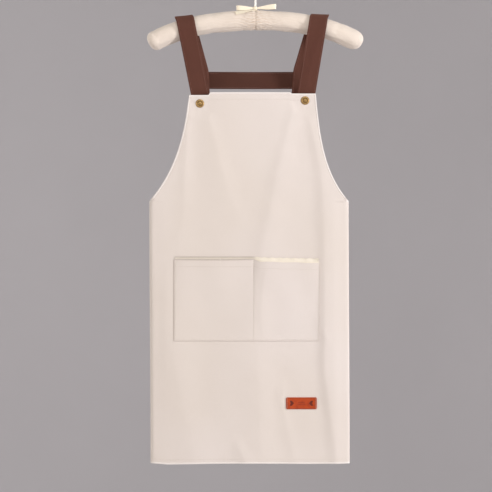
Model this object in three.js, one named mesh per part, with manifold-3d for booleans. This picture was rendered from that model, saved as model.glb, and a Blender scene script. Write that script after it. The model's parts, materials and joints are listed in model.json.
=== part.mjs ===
// A canvas apron hanging on a padded clothes hanger with a swivelling wire hook.
// Millimetres, +Z up, +X to the right seen from the front, the front faces -Y.
// The origin is the inside top of the hook, where a rail or a wall hook bears.

import * as THREE from "three";
import { mergeVertices } from "three/addons/utils/BufferGeometryUtils.js";
import Module from "manifold-3d";

const wasm = await Module();
wasm.setup();

// Room left between pieces that touch
const GAP = 0.3;

// Hook: a steel wire in a white sleeve, bent to a question mark
const WIRE_RADIUS = 1.25;
const SLEEVE_BORE_RADIUS = 1.55;
const SLEEVE_RADIUS = 1.95;
const HOOK_INNER_RADIUS = 19;
const HOOK_BEND_RADIUS = 10;
const HOOK_TIP_ANGLE = 200;
const WIRE_TIP_INSET = 2;
const SLEEVE_SEAT = 1;
const WIRE_HEAD = 1;
const HOOK_STEPS = 52;
const NUT_ACROSS_FLATS = 7;
const NUT_HEIGHT = 3.2;
const WASHER_RADIUS = 5;
const WASHER_THICKNESS = 0.8;
const COUNTERBORE_DEPTH = 6;

// Padded arm: sections stand square to an arched centre line
const PAD_TOP_Z = -70;
const PAD_HALF_HEIGHT = 19.4;
const PAD_HALF_DEPTH = 20;
const PAD_HALF_SPAN = 212;
const PAD_END_LENGTH = 22;
const PAD_END_POWER = 2.5;
const ARCH_SQUARE = 7.07e-4;
const ARCH_FOURTH = 7.66e-9;
const COVER_THICKNESS = 1;
const CORE_HEIGHT = 22;
const CORE_DEPTH = 12;
const CORE_HALF_SPAN = 188;

// Ribbon bow at the foot of the hook's stem
const RIBBON_WIDTH = 10;
const RIBBON_THICKNESS = 0.8;
const KNOT_Z = PAD_TOP_Z + 4.2;
const KNOT_Y = -5.7;
const LOOP_DEPTH = 7;
const LOOPS = [
  { side: -1, reach: 38, rise: 1.6 },
  { side: 1, reach: 42, rise: 4.4 },
];
const TAILS = [
  { side: -1, facing: -1, reach: 39, endRoll: 0.86 },
  { side: 1, facing: 1, reach: 36, endRoll: 0.84 },
];
const TAIL_START_ROLL = 0.28;

// Straps: webbing that runs up the front, over the arm and down the back
const STRAP_WIDTH = 36;
const STRAP_THICKNESS = 1.5;
const SWING_AXIS_Z = -104.5;
const STRAPS = {
  left: {
    side: -1,
    topX: -141.6,
    wrapRadius: 23,
    frontSlant: 0.196,
    backSlant: 0.27,
    cornerX: -93,
    snap: [-111, -256.2],
    endX: -110,
  },
  right: {
    side: 1,
    topX: 127.4,
    wrapRadius: 25.9,
    frontSlant: 0.161,
    backSlant: 0.296,
    cornerX: 69,
    snap: [99.4, -250.2],
    endX: 101,
  },
};
const STRAP_SPLIT_Z = -242;
const STRAP_END_Z = -284;
const CROSS_STRAP_TOP_Z = -190;
const CROSS_STRAP_HEIGHT = 34.4;
const CROSS_STRAP_END_INSET = 2;

// Apron cloth: one cut folded behind at both sides of the skirt
const CLOTH = 1.2;
const BIB_CENTRE_X = -6;
const SKIRT_CENTRE_X = -12;
const BIB_HALF_WIDTH = 126.5;
const SKIRT_HALF_WIDTH = 201;
const BIB_TOP_Z = -233.5;
const BIB_STEPS = {
  left: { drop: 5.5, x: -90 },
  right: { drop: 2.5, x: 69 },
};
const BIB_STEP_RUN = 2;
const UNDERARM_Z = -452;
const ARMHOLE_BELLY = 51;
const ARMHOLE_BELLY_Z = -395;
const ARMHOLE_FLARE = 7.5;
const ARMHOLE_FLARE_Z = -320;
const HEM_Z = -976.6;
const PANEL_BACK_Y = -3.4;
const WING_FRONT_Y = 10;
const WING_DEPTH = 140;
const WING_CORNER_Z = -503;
const WING_TOP_Z = -461;
const WING_CURVE = { from: 42, z: -498, to: 92, toZ: -501 };
const STRAP_OVERLAP = 40;
const STRAP_MEET_RISE = 8;
const FACING_HEIGHT = 40;
const FACING_THICKNESS = 1;

// Pocket: two compartments stitched to the skirt
const POCKET_LEFT_X = -162;
const POCKET_RIGHT_X = 127;
const POCKET_DIVIDER_X = -3.8;
const POCKET_TOP_Z = -566;
const POCKET_BOTTOM_Z = -730.8;
const POCKET_GAPE = 7;
const POCKET_MOUTH_DROOP = 6;

// Leather label
const LABEL_WIDTH = 61;
const LABEL_HEIGHT = 23.5;
const LABEL_THICKNESS = 1.6;
const LABEL_X = 92;
const LABEL_Z = -855.5;

// Press studs
const CAP_RADIUS = 8.5;
const SOCKET_RADIUS = 6.2;
const STUD_RADIUS = 5.5;
const POST_RADIUS = 1.8;
const CLOTH_HOLE_RADIUS = 2.2;

const materials = {
  steel: { color: 0xb9bcc0, roughness: 0.35, metalness: 1 },
  whiteSleeve: { color: 0xf3f0e8, roughness: 0.35, metalness: 0 },
  wood: { color: 0xd8b483, roughness: 0.6, metalness: 0 },
  foam: { color: 0xe9dfa8, roughness: 0.95, metalness: 0 },
  cotton: { color: 0xf0e4d8, roughness: 0.85, metalness: 0 },
  satin: { color: 0xf6edd6, roughness: 0.4, metalness: 0 },
  canvas: { color: 0xe5d9ce, roughness: 0.9, metalness: 0 },
  webbing: { color: 0x5f332b, roughness: 0.8, metalness: 0 },
  brass: { color: 0x9a7440, roughness: 0.45, metalness: 1 },
  leather: { color: 0xb8501f, roughness: 0.6, metalness: 0 },
};

const object = new THREE.Group();

function add(name, geometry, material) {
  const mesh = new THREE.Mesh(geometry, new THREE.MeshStandardMaterial(materials[material]));
  mesh.name = name;
  object.add(mesh);
}

// ---- closed solids -------------------------------------------------------------------------

function solid(geometry) {
  const bare = geometry.clone();
  bare.deleteAttribute("normal");
  bare.deleteAttribute("uv");
  const merged = mergeVertices(bare, 1e-3);
  const index = merged.index.array;
  const kept = [];
  for (let i = 0; i < index.length; i += 3) {
    const [a, b, c] = index.slice(i, i + 3);
    if (a !== b && b !== c && c !== a) kept.push(a, b, c);
  }
  return new wasm.Manifold(
    new wasm.Mesh({
      numProp: 3,
      vertProperties: new Float32Array(merged.attributes.position.array),
      triVerts: new Uint32Array(kept),
    }),
  );
}

function geometryOf(manifold) {
  const mesh = manifold.getMesh();
  const geometry = new THREE.BufferGeometry();
  geometry.setAttribute("position", new THREE.BufferAttribute(mesh.vertProperties, 3));
  geometry.setIndex(new THREE.BufferAttribute(mesh.triVerts, 1));
  return geometry;
}

// Moves every vertex of a geometry to where place(x, y, z) puts it.
function bent(geometry, place) {
  const position = geometry.attributes.position;
  for (let i = 0; i < position.count; i++) {
    const [x, y, z] = place(position.getX(i), position.getY(i), position.getZ(i));
    position.setXYZ(i, x, y, z);
  }
  return geometry;
}

// A plate cut to an outline in the X-Z plane, from frontY back to frontY + thickness.
function plate(outline, frontY, thickness, curveSegments = 12) {
  const geometry = new THREE.ExtrudeGeometry(outline, {
    depth: thickness,
    bevelEnabled: false,
    curveSegments,
  });
  return geometry.rotateX(Math.PI / 2).translate(0, frontY + thickness, 0);
}

function box(x0, x1, y0, y1, z0, z1) {
  const geometry = new THREE.BoxGeometry(x1 - x0, y1 - y0, z1 - z0);
  return geometry.translate((x0 + x1) / 2, (y0 + y1) / 2, (z0 + z1) / 2);
}

// A turned piece about the Z axis at x = y = 0: rows of [radius, z].
function turned(rows, segments = 20) {
  const profile = rows.map(([r, z]) => new THREE.Vector2(r, z));
  return new THREE.LatheGeometry(profile, segments).rotateX(Math.PI / 2);
}

// A turned piece about an axis along Y through (x, z): rows of [radius, y].
function turnedAlongY(rows, x, z, segments = 20) {
  const profile = rows.map(([r, y]) => new THREE.Vector2(r, y));
  return new THREE.LatheGeometry(profile, segments).translate(x, 0, z);
}

// A flat band along a line of stations; its width lies as near to the level axis as it can.
function band(stations, width, thickness, level, widthScale = () => 1) {
  const last = stations.length - 1;
  const geometry = new THREE.BoxGeometry(width, thickness, last, 1, 1, last);
  const levelAxis = new THREE.Vector3(...level);
  const normal = new THREE.Vector3();
  return bent(geometry, (x, y, z) => {
    const i = Math.round(last / 2 + z);
    const before = stations[Math.max(i - 1, 0)];
    const after = stations[Math.min(i + 1, last)];
    const along = after.clone().sub(before).normalize();
    const across = levelAxis.clone().addScaledVector(along, -levelAxis.dot(along)).normalize();
    normal.crossVectors(along, across);
    const point = stations[i].clone().addScaledVector(across, x * widthScale(stations[i]));
    return point.addScaledVector(normal, y).toArray();
  });
}

function drilledAlongY(manifold, radius, [x, z]) {
  const drill = new THREE.CylinderGeometry(radius, radius, 40, 16).translate(x, 0, z);
  return manifold.subtract(solid(drill));
}

// ---- hook ----------------------------------------------------------------------------------

const radians = THREE.MathUtils.degToRad;
const radiansToDegrees = THREE.MathUtils.radToDeg;
const padCentreZ = PAD_TOP_Z - PAD_HALF_HEIGHT;
const coreBottomZ = padCentreZ - CORE_HEIGHT / 2;
const counterboreTopZ = coreBottomZ + COUNTERBORE_DEPTH;
const nutBottomZ = counterboreTopZ - 2 * GAP - WASHER_THICKNESS - NUT_HEIGHT;

// The wire's centre line: from its tip over the rail, back under it and down the stem.
class HookLine extends THREE.Curve {
  constructor(tipAngle, bottomZ) {
    super();
    this.ring = HOOK_INNER_RADIUS + SLEEVE_RADIUS;
    this.ringZ = -HOOK_INNER_RADIUS;
    this.bendZ = this.ringZ - Math.sqrt(this.ring ** 2 + 2 * this.ring * HOOK_BEND_RADIUS);
    this.tip = radians(tipAngle);
    this.meet = Math.atan2(this.bendZ - this.ringZ, HOOK_BEND_RADIUS);
    this.overLength = this.ring * (this.tip - this.meet);
    this.underLength = -HOOK_BEND_RADIUS * this.meet;
    this.stemLength = this.bendZ - bottomZ;
  }

  getPoint(t) {
    let along = t * (this.overLength + this.underLength + this.stemLength);
    if (along < this.overLength) {
      return this.arcPoint(0, this.ringZ, this.ring, this.tip - along / this.ring);
    }
    along -= this.overLength;
    if (along < this.underLength) {
      const angle = this.meet + Math.PI + along / HOOK_BEND_RADIUS;
      return this.arcPoint(HOOK_BEND_RADIUS, this.bendZ, HOOK_BEND_RADIUS, angle);
    }
    return new THREE.Vector3(0, 0, this.bendZ - (along - this.underLength));
  }

  arcPoint(x, z, radius, angle) {
    return new THREE.Vector3(x + radius * Math.cos(angle), 0, z + radius * Math.sin(angle));
  }
}

// A round bar along a curve.
function bar(curve, radius, sides) {
  const section = new THREE.Shape();
  section.absarc(0, 0, radius, 0, 2 * Math.PI);
  return new THREE.ExtrudeGeometry(section, {
    extrudePath: curve,
    steps: HOOK_STEPS,
    curveSegments: sides / 2,
    bevelEnabled: false,
  });
}

function makeHook() {
  const wireTip = HOOK_TIP_ANGLE - radiansToDegrees(WIRE_TIP_INSET / (HOOK_INNER_RADIUS + SLEEVE_RADIUS));
  const wire = new HookLine(wireTip, nutBottomZ - WIRE_HEAD);
  const sleeve = new HookLine(HOOK_TIP_ANGLE, PAD_TOP_Z + SLEEVE_SEAT);
  add("hook_wire", bar(wire, WIRE_RADIUS, 10), "steel");

  const tip = new THREE.SphereGeometry(SLEEVE_RADIUS, 12, 8).translate(...sleeve.getPoint(0).toArray());
  const bore = new HookLine(wireTip + 1, PAD_TOP_Z - 2 * SLEEVE_RADIUS);
  const tube = solid(bar(sleeve, SLEEVE_RADIUS, 12)).add(solid(tip));
  const hollow = tube.subtract(solid(bar(bore, SLEEVE_BORE_RADIUS, 10)));
  add("hook_sleeve", geometryOf(hollow), "whiteSleeve");

  const washerTop = counterboreTopZ - GAP;
  const washerBottom = washerTop - WASHER_THICKNESS;
  const holeRadius = WIRE_RADIUS + GAP;
  add("hook_washer", turned([
    [holeRadius, washerBottom],
    [WASHER_RADIUS, washerBottom],
    [WASHER_RADIUS, washerTop],
    [holeRadius, washerTop],
    [holeRadius, washerBottom],
  ], 18), "steel");

  const nutTop = washerBottom - GAP;
  const corner = NUT_ACROSS_FLATS / Math.sqrt(3);
  const hexagon = new THREE.CylinderGeometry(corner, corner, NUT_HEIGHT, 6).rotateX(Math.PI / 2);
  const hole = new THREE.CylinderGeometry(holeRadius, holeRadius, 10, 12).rotateX(Math.PI / 2);
  const nut = solid(hexagon).subtract(solid(hole));
  add("hook_nut", geometryOf(nut).translate(0, 0, nutTop - NUT_HEIGHT / 2), "steel");
}

// ---- padded arm ----------------------------------------------------------------------------

const archDrop = (x) => ARCH_SQUARE * x ** 2 + ARCH_FOURTH * x ** 4;
const archSlope = (x) => -(2 * ARCH_SQUARE * x + 4 * ARCH_FOURTH * x ** 3);

// Takes a straight arm along X on to the arch, its sections square to the centre line.
function archPoint(x, y, height) {
  const slope = archSlope(x);
  const length = Math.hypot(1, slope);
  return [x - (height * slope) / length, y, padCentreZ - archDrop(x) + height / length];
}

// The padding's outer shape, drawn in by inset all round.
function padBody(inset) {
  const endSteps = 6;
  const steps = 15;
  const span = PAD_HALF_SPAN - inset;
  const rows = [];
  for (let i = 0; i <= steps; i++) {
    const onEnd = Math.min(i / endSteps, 1) ** 2;
    const beyond = Math.max(i - endSteps, 0) / (steps - endSteps);
    const fromEnd = PAD_END_LENGTH * onEnd + (span - PAD_END_LENGTH) * beyond;
    const swell = (1 - (1 - onEnd) ** PAD_END_POWER) ** (1 / PAD_END_POWER);
    rows.push([swell * (PAD_HALF_HEIGHT - inset), fromEnd - span]);
  }
  const mirrored = rows.slice(0, -1).reverse().map(([r, x]) => [r, -x]);
  const profile = [...rows, ...mirrored].map(([r, x]) => new THREE.Vector2(r, x));
  const lathe = new THREE.LatheGeometry(profile, 20).rotateZ(-Math.PI / 2);
  const deeper = (PAD_HALF_DEPTH - inset) / (PAD_HALF_HEIGHT - inset);
  return bent(lathe, (x, y, z) => archPoint(x, y * deeper, z));
}

// The wooden core, grown by clearance for the hollow in the foam.
function coreBody(clearance) {
  const span = CORE_HALF_SPAN + clearance;
  const height = CORE_HEIGHT + 2 * clearance;
  const depth = CORE_DEPTH + 2 * clearance;
  const geometry = new THREE.BoxGeometry(2 * span, depth, height, 20, 1, 1);
  return bent(geometry, (x, y, z) => {
    const taper = 1 - 0.3 * (Math.abs(x) / span) ** 4;
    return archPoint(x, y * taper, z * taper);
  });
}

function makeArm() {
  const stem = (radius, top, bottom) =>
    solid(new THREE.CylinderGeometry(radius, radius, top - bottom, 14)
      .rotateX(Math.PI / 2)
      .translate(0, 0, (top + bottom) / 2));
  const stemHole = stem(SLEEVE_RADIUS + GAP, PAD_TOP_Z + 20, padCentreZ);
  const coreHole = stem(WIRE_RADIUS + GAP, PAD_TOP_Z + 20, coreBottomZ - 10);
  const counterbore = stem(WASHER_RADIUS + GAP, counterboreTopZ, coreBottomZ - 10);
  const core = solid(coreBody(0)).subtract(coreHole).subtract(counterbore);
  add("hanger_core", geometryOf(core), "wood");

  const foam = solid(padBody(COVER_THICKNESS + GAP))
    .subtract(solid(coreBody(GAP)))
    .subtract(stemHole)
    .subtract(stem(WASHER_RADIUS + GAP, counterboreTopZ, coreBottomZ - 3));
  const cover = solid(padBody(0)).subtract(solid(padBody(COVER_THICKNESS))).subtract(stemHole);
  for (const [name, side] of [["left", -1], ["right", 1]]) {
    const near = side * (GAP / 2);
    const far = side * (PAD_HALF_SPAN + 20);
    const half = solid(box(Math.min(near, far), Math.max(near, far), -60, 60, -300, 0));
    add(`foam_${name}`, geometryOf(foam.intersect(half)), "foam");
    add(`cover_${name}`, geometryOf(cover.intersect(half)), "cotton");
  }
}

// ---- ribbon bow at the foot of the stem ------------------------------------------------------

// One loop of the bow: ribbon standing on edge, out along a teardrop and back.
function ribbonLoop({ side, reach, rise }) {
  const halfDepth = LOOP_DEPTH / 2;
  const tip = reach - halfDepth;
  const path = new THREE.Path();
  path.moveTo(0, RIBBON_THICKNESS);
  path.bezierCurveTo(reach * 0.3, halfDepth, reach * 0.6, halfDepth, tip, halfDepth);
  path.absarc(tip, 0, halfDepth, Math.PI / 2, -Math.PI / 2, true);
  path.bezierCurveTo(reach * 0.6, -halfDepth, reach * 0.3, -halfDepth, 0, -RIBBON_THICKNESS);
  const stations = path.getPoints(6).map(({ x, y }) => {
    return new THREE.Vector3(side * x, y + KNOT_Y, KNOT_Z + (rise * x) / reach);
  });
  const narrowing = (station) => 0.45 + (0.55 * Math.abs(station.x)) / reach;
  return solid(band(stations, RIBBON_WIDTH, RIBBON_THICKNESS, [0, 0, 1], narrowing));
}

// One tail, lying on the padding from the knot towards the front or the back.
function ribbonTail({ side, facing, reach, endRoll }) {
  const geometry = new THREE.BoxGeometry(reach, RIBBON_WIDTH, RIBBON_THICKNESS, 8, 3, 1);
  const deeper = PAD_HALF_DEPTH / PAD_HALF_HEIGHT;
  return solid(bent(geometry, (x, y, z) => {
    const along = x + reach / 2;
    const width = 0.5 + (0.5 * along) / reach;
    const middle = THREE.MathUtils.lerp(TAIL_START_ROLL, endRoll, along / reach);
    const roll = middle + (y * width) / PAD_HALF_HEIGHT;
    const radius = PAD_HALF_HEIGHT + 2 * GAP + RIBBON_THICKNESS / 2 + z;
    return archPoint(side * along, facing * Math.sin(roll) * radius * deeper, Math.cos(roll) * radius);
  }));
}

function makeBow() {
  const inner = SLEEVE_RADIUS + GAP;
  const wrap = solid(turned([
    [inner, PAD_TOP_Z + 2 * GAP],
    [inner + 1.4, PAD_TOP_Z + 2 * GAP],
    [inner + 1.4, KNOT_Z + 3],
    [inner, KNOT_Z + 3],
    [inner, PAD_TOP_Z + 2 * GAP],
  ], 16));
  const knot = new THREE.SphereGeometry(1, 12, 8).scale(4, 3, 4.4).translate(0, KNOT_Y, KNOT_Z);
  const pieces = [solid(knot), ...LOOPS.map(ribbonLoop), ...TAILS.map(ribbonTail)];
  const bow = pieces.reduce((joined, piece) => joined.add(piece), wrap);
  add("ribbon_bow", geometryOf(bow), "satin");
}

// ---- straps --------------------------------------------------------------------------------

const strapMeanRadius = (strap) => strap.wrapRadius + STRAP_THICKNESS / 2;
const strapTopZ = (strap) => SWING_AXIS_Z + strapMeanRadius(strap);
const strapEndFrontY = 3.4;
const strapEndY = strapEndFrontY + STRAP_THICKNESS / 2;
const strapBackEndY = WING_FRONT_Y - GAP - STRAP_THICKNESS / 2;
const strapMeetZ = WING_CORNER_Z + STRAP_MEET_RISE;

// Where a straight run through (y, z) leaves the wrap; turn is -1 in front and 1 behind.
function tangentAngle(radius, y, z, turn) {
  const dz = z - SWING_AXIS_Z;
  const wholeTurn = turn < 0 ? 2 * Math.PI : 0;
  return wholeTurn + Math.atan2(dz, y) + turn * Math.acos(radius / Math.hypot(y, dz));
}

// The wrap's point at an angle, in the Y-Z plane.
function wrapYZ(strap, angle) {
  const radius = strapMeanRadius(strap);
  return [radius * Math.cos(angle), SWING_AXIS_Z + radius * Math.sin(angle)];
}

// How deep the back run lies at height z: straight from the wrap to the wing, then upright.
function backRunY(strap, z) {
  const leave = tangentAngle(strapMeanRadius(strap), strapBackEndY, strapMeetZ, 1);
  const [tangentY, tangentZ] = wrapYZ(strap, leave);
  const share = Math.max(z - strapMeetZ, 0) / (tangentZ - strapMeetZ);
  return THREE.MathUtils.lerp(strapBackEndY, tangentY, share);
}

// The strap's centre line from behind the bib, over the arm, to the wing's corner.
function strapStations(strap) {
  const radius = strapMeanRadius(strap);
  const topZ = strapTopZ(strap);
  const frontX = (z) => strap.topX - strap.side * strap.frontSlant * (topZ - z);
  const backX = (z) => strap.topX - strap.side * strap.backSlant * (topZ - z);
  const endZ = WING_CORNER_Z - STRAP_OVERLAP;
  const leaveFront = tangentAngle(radius, strapEndY, STRAP_SPLIT_Z, -1);
  const leaveBack = tangentAngle(radius, strapBackEndY, strapMeetZ, 1);
  const stations = [];
  const wrapPoint = (angle) => {
    const [y, z] = wrapYZ(strap, angle);
    return new THREE.Vector3(angle > Math.PI / 2 ? frontX(z) : backX(z), y, z);
  };
  const split = new THREE.Vector3(frontX(STRAP_SPLIT_Z), strapEndY, STRAP_SPLIT_Z);
  const frontTangent = wrapPoint(leaveFront);
  for (const share of [-0.1, 0.25, 0.5, 0.75]) {
    stations.push(split.clone().lerp(frontTangent, share));
  }
  const arcSteps = 16;
  for (let i = 0; i <= arcSteps; i++) {
    stations.push(wrapPoint(leaveFront + ((leaveBack - leaveFront) * i) / arcSteps));
  }
  const bendZ = CROSS_STRAP_TOP_Z;
  const lowerX = (z) => THREE.MathUtils.mapLinear(z, bendZ, endZ, backX(bendZ), strap.cornerX);
  for (const z of [-130, -155, -178, -202, -228, -320, -420, strapMeetZ, endZ]) {
    stations.push(new THREE.Vector3(z > bendZ ? backX(z) : lowerX(z), backRunY(strap, z), z));
  }
  return stations;
}

function makeStraps() {
  for (const [name, strap] of Object.entries(STRAPS)) {
    const whole = solid(band(strapStations(strap), STRAP_WIDTH, STRAP_THICKNESS, [1, 0, 0]));
    const belowSplit = solid(box(-300, 300, -30, 12, STRAP_SPLIT_Z - 30, STRAP_SPLIT_Z));
    add(`strap_${name}`, geometryOf(whole.subtract(belowSplit)), "webbing");
    const end = solid(box(
      strap.endX - STRAP_WIDTH / 2,
      strap.endX + STRAP_WIDTH / 2,
      strapEndFrontY,
      strapEndFrontY + STRAP_THICKNESS,
      STRAP_END_Z,
      STRAP_SPLIT_Z - 1,
    ));
    const drilled = drilledAlongY(end, CLOTH_HOLE_RADIUS, strap.snap);
    add(`strap_end_${name}`, geometryOf(drilled), "webbing");
  }
  add("cross_strap", crossStrap(), "webbing");
}

// Sewn on behind both back runs, so it slants with them from the left to the right.
function crossStrap() {
  const bottomZ = CROSS_STRAP_TOP_Z - CROSS_STRAP_HEIGHT;
  const leftX = crossStrapEnd(STRAPS.left);
  const rightX = crossStrapEnd(STRAPS.right);
  const frontY = (strap) => backRunY(strap, CROSS_STRAP_TOP_Z) + STRAP_THICKNESS / 2 + 2 * GAP;
  const flat = box(leftX, rightX, 0, STRAP_THICKNESS, bottomZ, CROSS_STRAP_TOP_Z);
  const slant = (x) =>
    THREE.MathUtils.mapLinear(x, leftX, rightX, frontY(STRAPS.left), frontY(STRAPS.right));
  return bent(flat, (x, y, z) => [x, slant(x) + y, z]);
}

// The cross strap reaches to the outer edge of each back strap.
function crossStrapEnd(strap) {
  const drop = strapTopZ(strap) - CROSS_STRAP_TOP_Z;
  const centre = strap.topX - strap.side * strap.backSlant * drop;
  return centre + strap.side * (STRAP_WIDTH / 2 - CROSS_STRAP_END_INSET);
}

// ---- apron cloth ---------------------------------------------------------------------------

const panelFrontY = PANEL_BACK_Y - CLOTH;
const foldRadius = (WING_FRONT_Y + CLOTH / 2 - (PANEL_BACK_Y - CLOTH / 2)) / 2;
const foldCentreY = WING_FRONT_Y + CLOTH / 2 - foldRadius;
const foldX = (side) => SKIRT_CENTRE_X + side * SKIRT_HALF_WIDTH;
const foldCentreX = (side) => foldX(side) - side * (foldRadius + CLOTH / 2);
const bibX = (side) => BIB_CENTRE_X + side * BIB_HALF_WIDTH;

// The front as it is seen: bib, armholes and the skirt between its two folds.
function frontOutline() {
  const left = BIB_STEPS.left;
  const right = BIB_STEPS.right;
  const cornerZ = (step) => BIB_TOP_Z - step.drop;
  const outline = new THREE.Shape();
  outline.moveTo(foldX(-1), HEM_Z);
  outline.lineTo(foldX(1), HEM_Z);
  outline.lineTo(foldX(1), UNDERARM_Z);
  outline.bezierCurveTo(
    foldX(1) - ARMHOLE_BELLY, ARMHOLE_BELLY_Z,
    bibX(1) + ARMHOLE_FLARE, ARMHOLE_FLARE_Z,
    bibX(1), cornerZ(right),
  );
  outline.lineTo(right.x + BIB_STEP_RUN, cornerZ(right));
  outline.lineTo(right.x, BIB_TOP_Z);
  outline.lineTo(left.x, BIB_TOP_Z);
  outline.lineTo(left.x - BIB_STEP_RUN, cornerZ(left));
  outline.lineTo(bibX(-1), cornerZ(left));
  outline.bezierCurveTo(
    bibX(-1) - ARMHOLE_FLARE, ARMHOLE_FLARE_Z,
    foldX(-1) + ARMHOLE_BELLY, ARMHOLE_BELLY_Z,
    foldX(-1), UNDERARM_Z,
  );
  return outline;
}

// The front sheet in plan: flat, with both edges rolled round to the back.
function rolledSheet() {
  const outer = foldRadius + CLOTH / 2;
  const inner = foldRadius - CLOTH / 2;
  const plan = new THREE.Shape();
  plan.moveTo(foldCentreX(-1), foldCentreY - outer);
  plan.lineTo(foldCentreX(1), foldCentreY - outer);
  plan.absarc(foldCentreX(1), foldCentreY, outer, -Math.PI / 2, Math.PI / 2, false);
  plan.lineTo(foldCentreX(1), foldCentreY + inner);
  plan.absarc(foldCentreX(1), foldCentreY, inner, Math.PI / 2, -Math.PI / 2, true);
  plan.lineTo(foldCentreX(-1), foldCentreY - inner);
  plan.absarc(foldCentreX(-1), foldCentreY, inner, -Math.PI / 2, -1.5 * Math.PI, true);
  plan.lineTo(foldCentreX(-1), foldCentreY + outer);
  plan.absarc(foldCentreX(-1), foldCentreY, outer, -1.5 * Math.PI, -Math.PI / 2, false);
  const height = BIB_TOP_Z - HEM_Z + 2;
  const sheet = new THREE.ExtrudeGeometry(plan, {
    depth: height,
    bevelEnabled: false,
    curveSegments: 8,
  });
  return solid(sheet.translate(0, 0, HEM_Z - 1));
}

function wingOutline(side) {
  const x = (fromFold) => foldX(side) - side * fromFold;
  const start = foldRadius + CLOTH / 2 + 2 * GAP;
  const outline = new THREE.Shape();
  outline.moveTo(x(start), HEM_Z);
  outline.lineTo(x(start), WING_TOP_Z);
  outline.quadraticCurveTo(x(WING_CURVE.from), WING_CURVE.z, x(WING_CURVE.to), WING_CURVE.toZ);
  outline.lineTo(x(WING_DEPTH), WING_CORNER_Z);
  outline.lineTo(x(WING_DEPTH), HEM_Z);
  return outline;
}

function makeCloth() {
  const front = rolledSheet().intersect(solid(plate(frontOutline(), -30, 60, 16)));
  const strip = solid(plate(frontOutline(), PANEL_BACK_Y + GAP, FACING_THICKNESS, 16)).intersect(
    solid(box(-300, 300, -30, 30, BIB_TOP_Z - FACING_HEIGHT, BIB_TOP_Z - 1)),
  );
  const holes = Object.values(STRAPS).map((strap) => strap.snap);
  const drill = (cloth) => holes.reduce((m, hole) => drilledAlongY(m, CLOTH_HOLE_RADIUS, hole), cloth);
  add("front_panel", geometryOf(drill(front)), "canvas");
  add("bib_facing", geometryOf(drill(strip)), "canvas");
  for (const [name, side] of [["left", -1], ["right", 1]]) {
    add(`wing_${name}`, geometryOf(solid(plate(wingOutline(side), WING_FRONT_Y, CLOTH, 6))), "canvas");
  }
}

// ---- pocket and label ------------------------------------------------------------------------

// How far the pocket stands off the skirt: nothing at the seams, most at the mouth.
// across runs over one compartment, up from the bottom seam to the mouth, both 0 to 1.
function pocketBulge(across, up) {
  return POCKET_GAPE * (1 - Math.abs(2 * across - 1) ** 6) * Math.sqrt(up);
}

// One closed sheet over both compartments, dipping to the skirt along the divider.
function makePocket() {
  const compartments = [
    { from: POCKET_LEFT_X, to: POCKET_DIVIDER_X, droop: [0, 0] },
    { from: POCKET_DIVIDER_X, to: POCKET_RIGHT_X, droop: [0, POCKET_MOUTH_DROOP] },
  ];
  const columns = 11;
  const sheet = new THREE.BoxGeometry(2, CLOTH, 1, 2 * columns, 1, 8);
  const { lerp } = THREE.MathUtils;
  add("pocket", geometryOf(solid(bent(sheet, (x, y, z) => {
    const { from, to, droop } = compartments[x > 0 ? 1 : 0];
    const across = x > 0 ? x : x + 1;
    const up = z + 0.5;
    const topZ = POCKET_TOP_Z - lerp(droop[0], droop[1], across);
    const standOff = GAP + CLOTH / 2 + pocketBulge(across, up);
    return [lerp(from, to, across), panelFrontY - standOff + y, lerp(POCKET_BOTTOM_Z, topZ, up)];
  }))), "canvas");
}

function makeLabel() {
  const corner = 2.5;
  const x0 = LABEL_X - LABEL_WIDTH / 2;
  const x1 = LABEL_X + LABEL_WIDTH / 2;
  const z0 = LABEL_Z - LABEL_HEIGHT / 2;
  const z1 = LABEL_Z + LABEL_HEIGHT / 2;
  const outline = new THREE.Shape();
  outline.moveTo(x0 + corner, z0);
  outline.lineTo(x1 - corner, z0);
  outline.absarc(x1 - corner, z0 + corner, corner, -Math.PI / 2, 0);
  outline.absarc(x1 - corner, z1 - corner, corner, 0, Math.PI / 2);
  outline.absarc(x0 + corner, z1 - corner, corner, Math.PI / 2, Math.PI);
  outline.absarc(x0 + corner, z0 + corner, corner, Math.PI, 1.5 * Math.PI);
  const frontY = panelFrontY - GAP - LABEL_THICKNESS;
  add("leather_label", plate(outline, frontY, LABEL_THICKNESS, 4), "leather");
}

// ---- press studs -----------------------------------------------------------------------------

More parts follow.
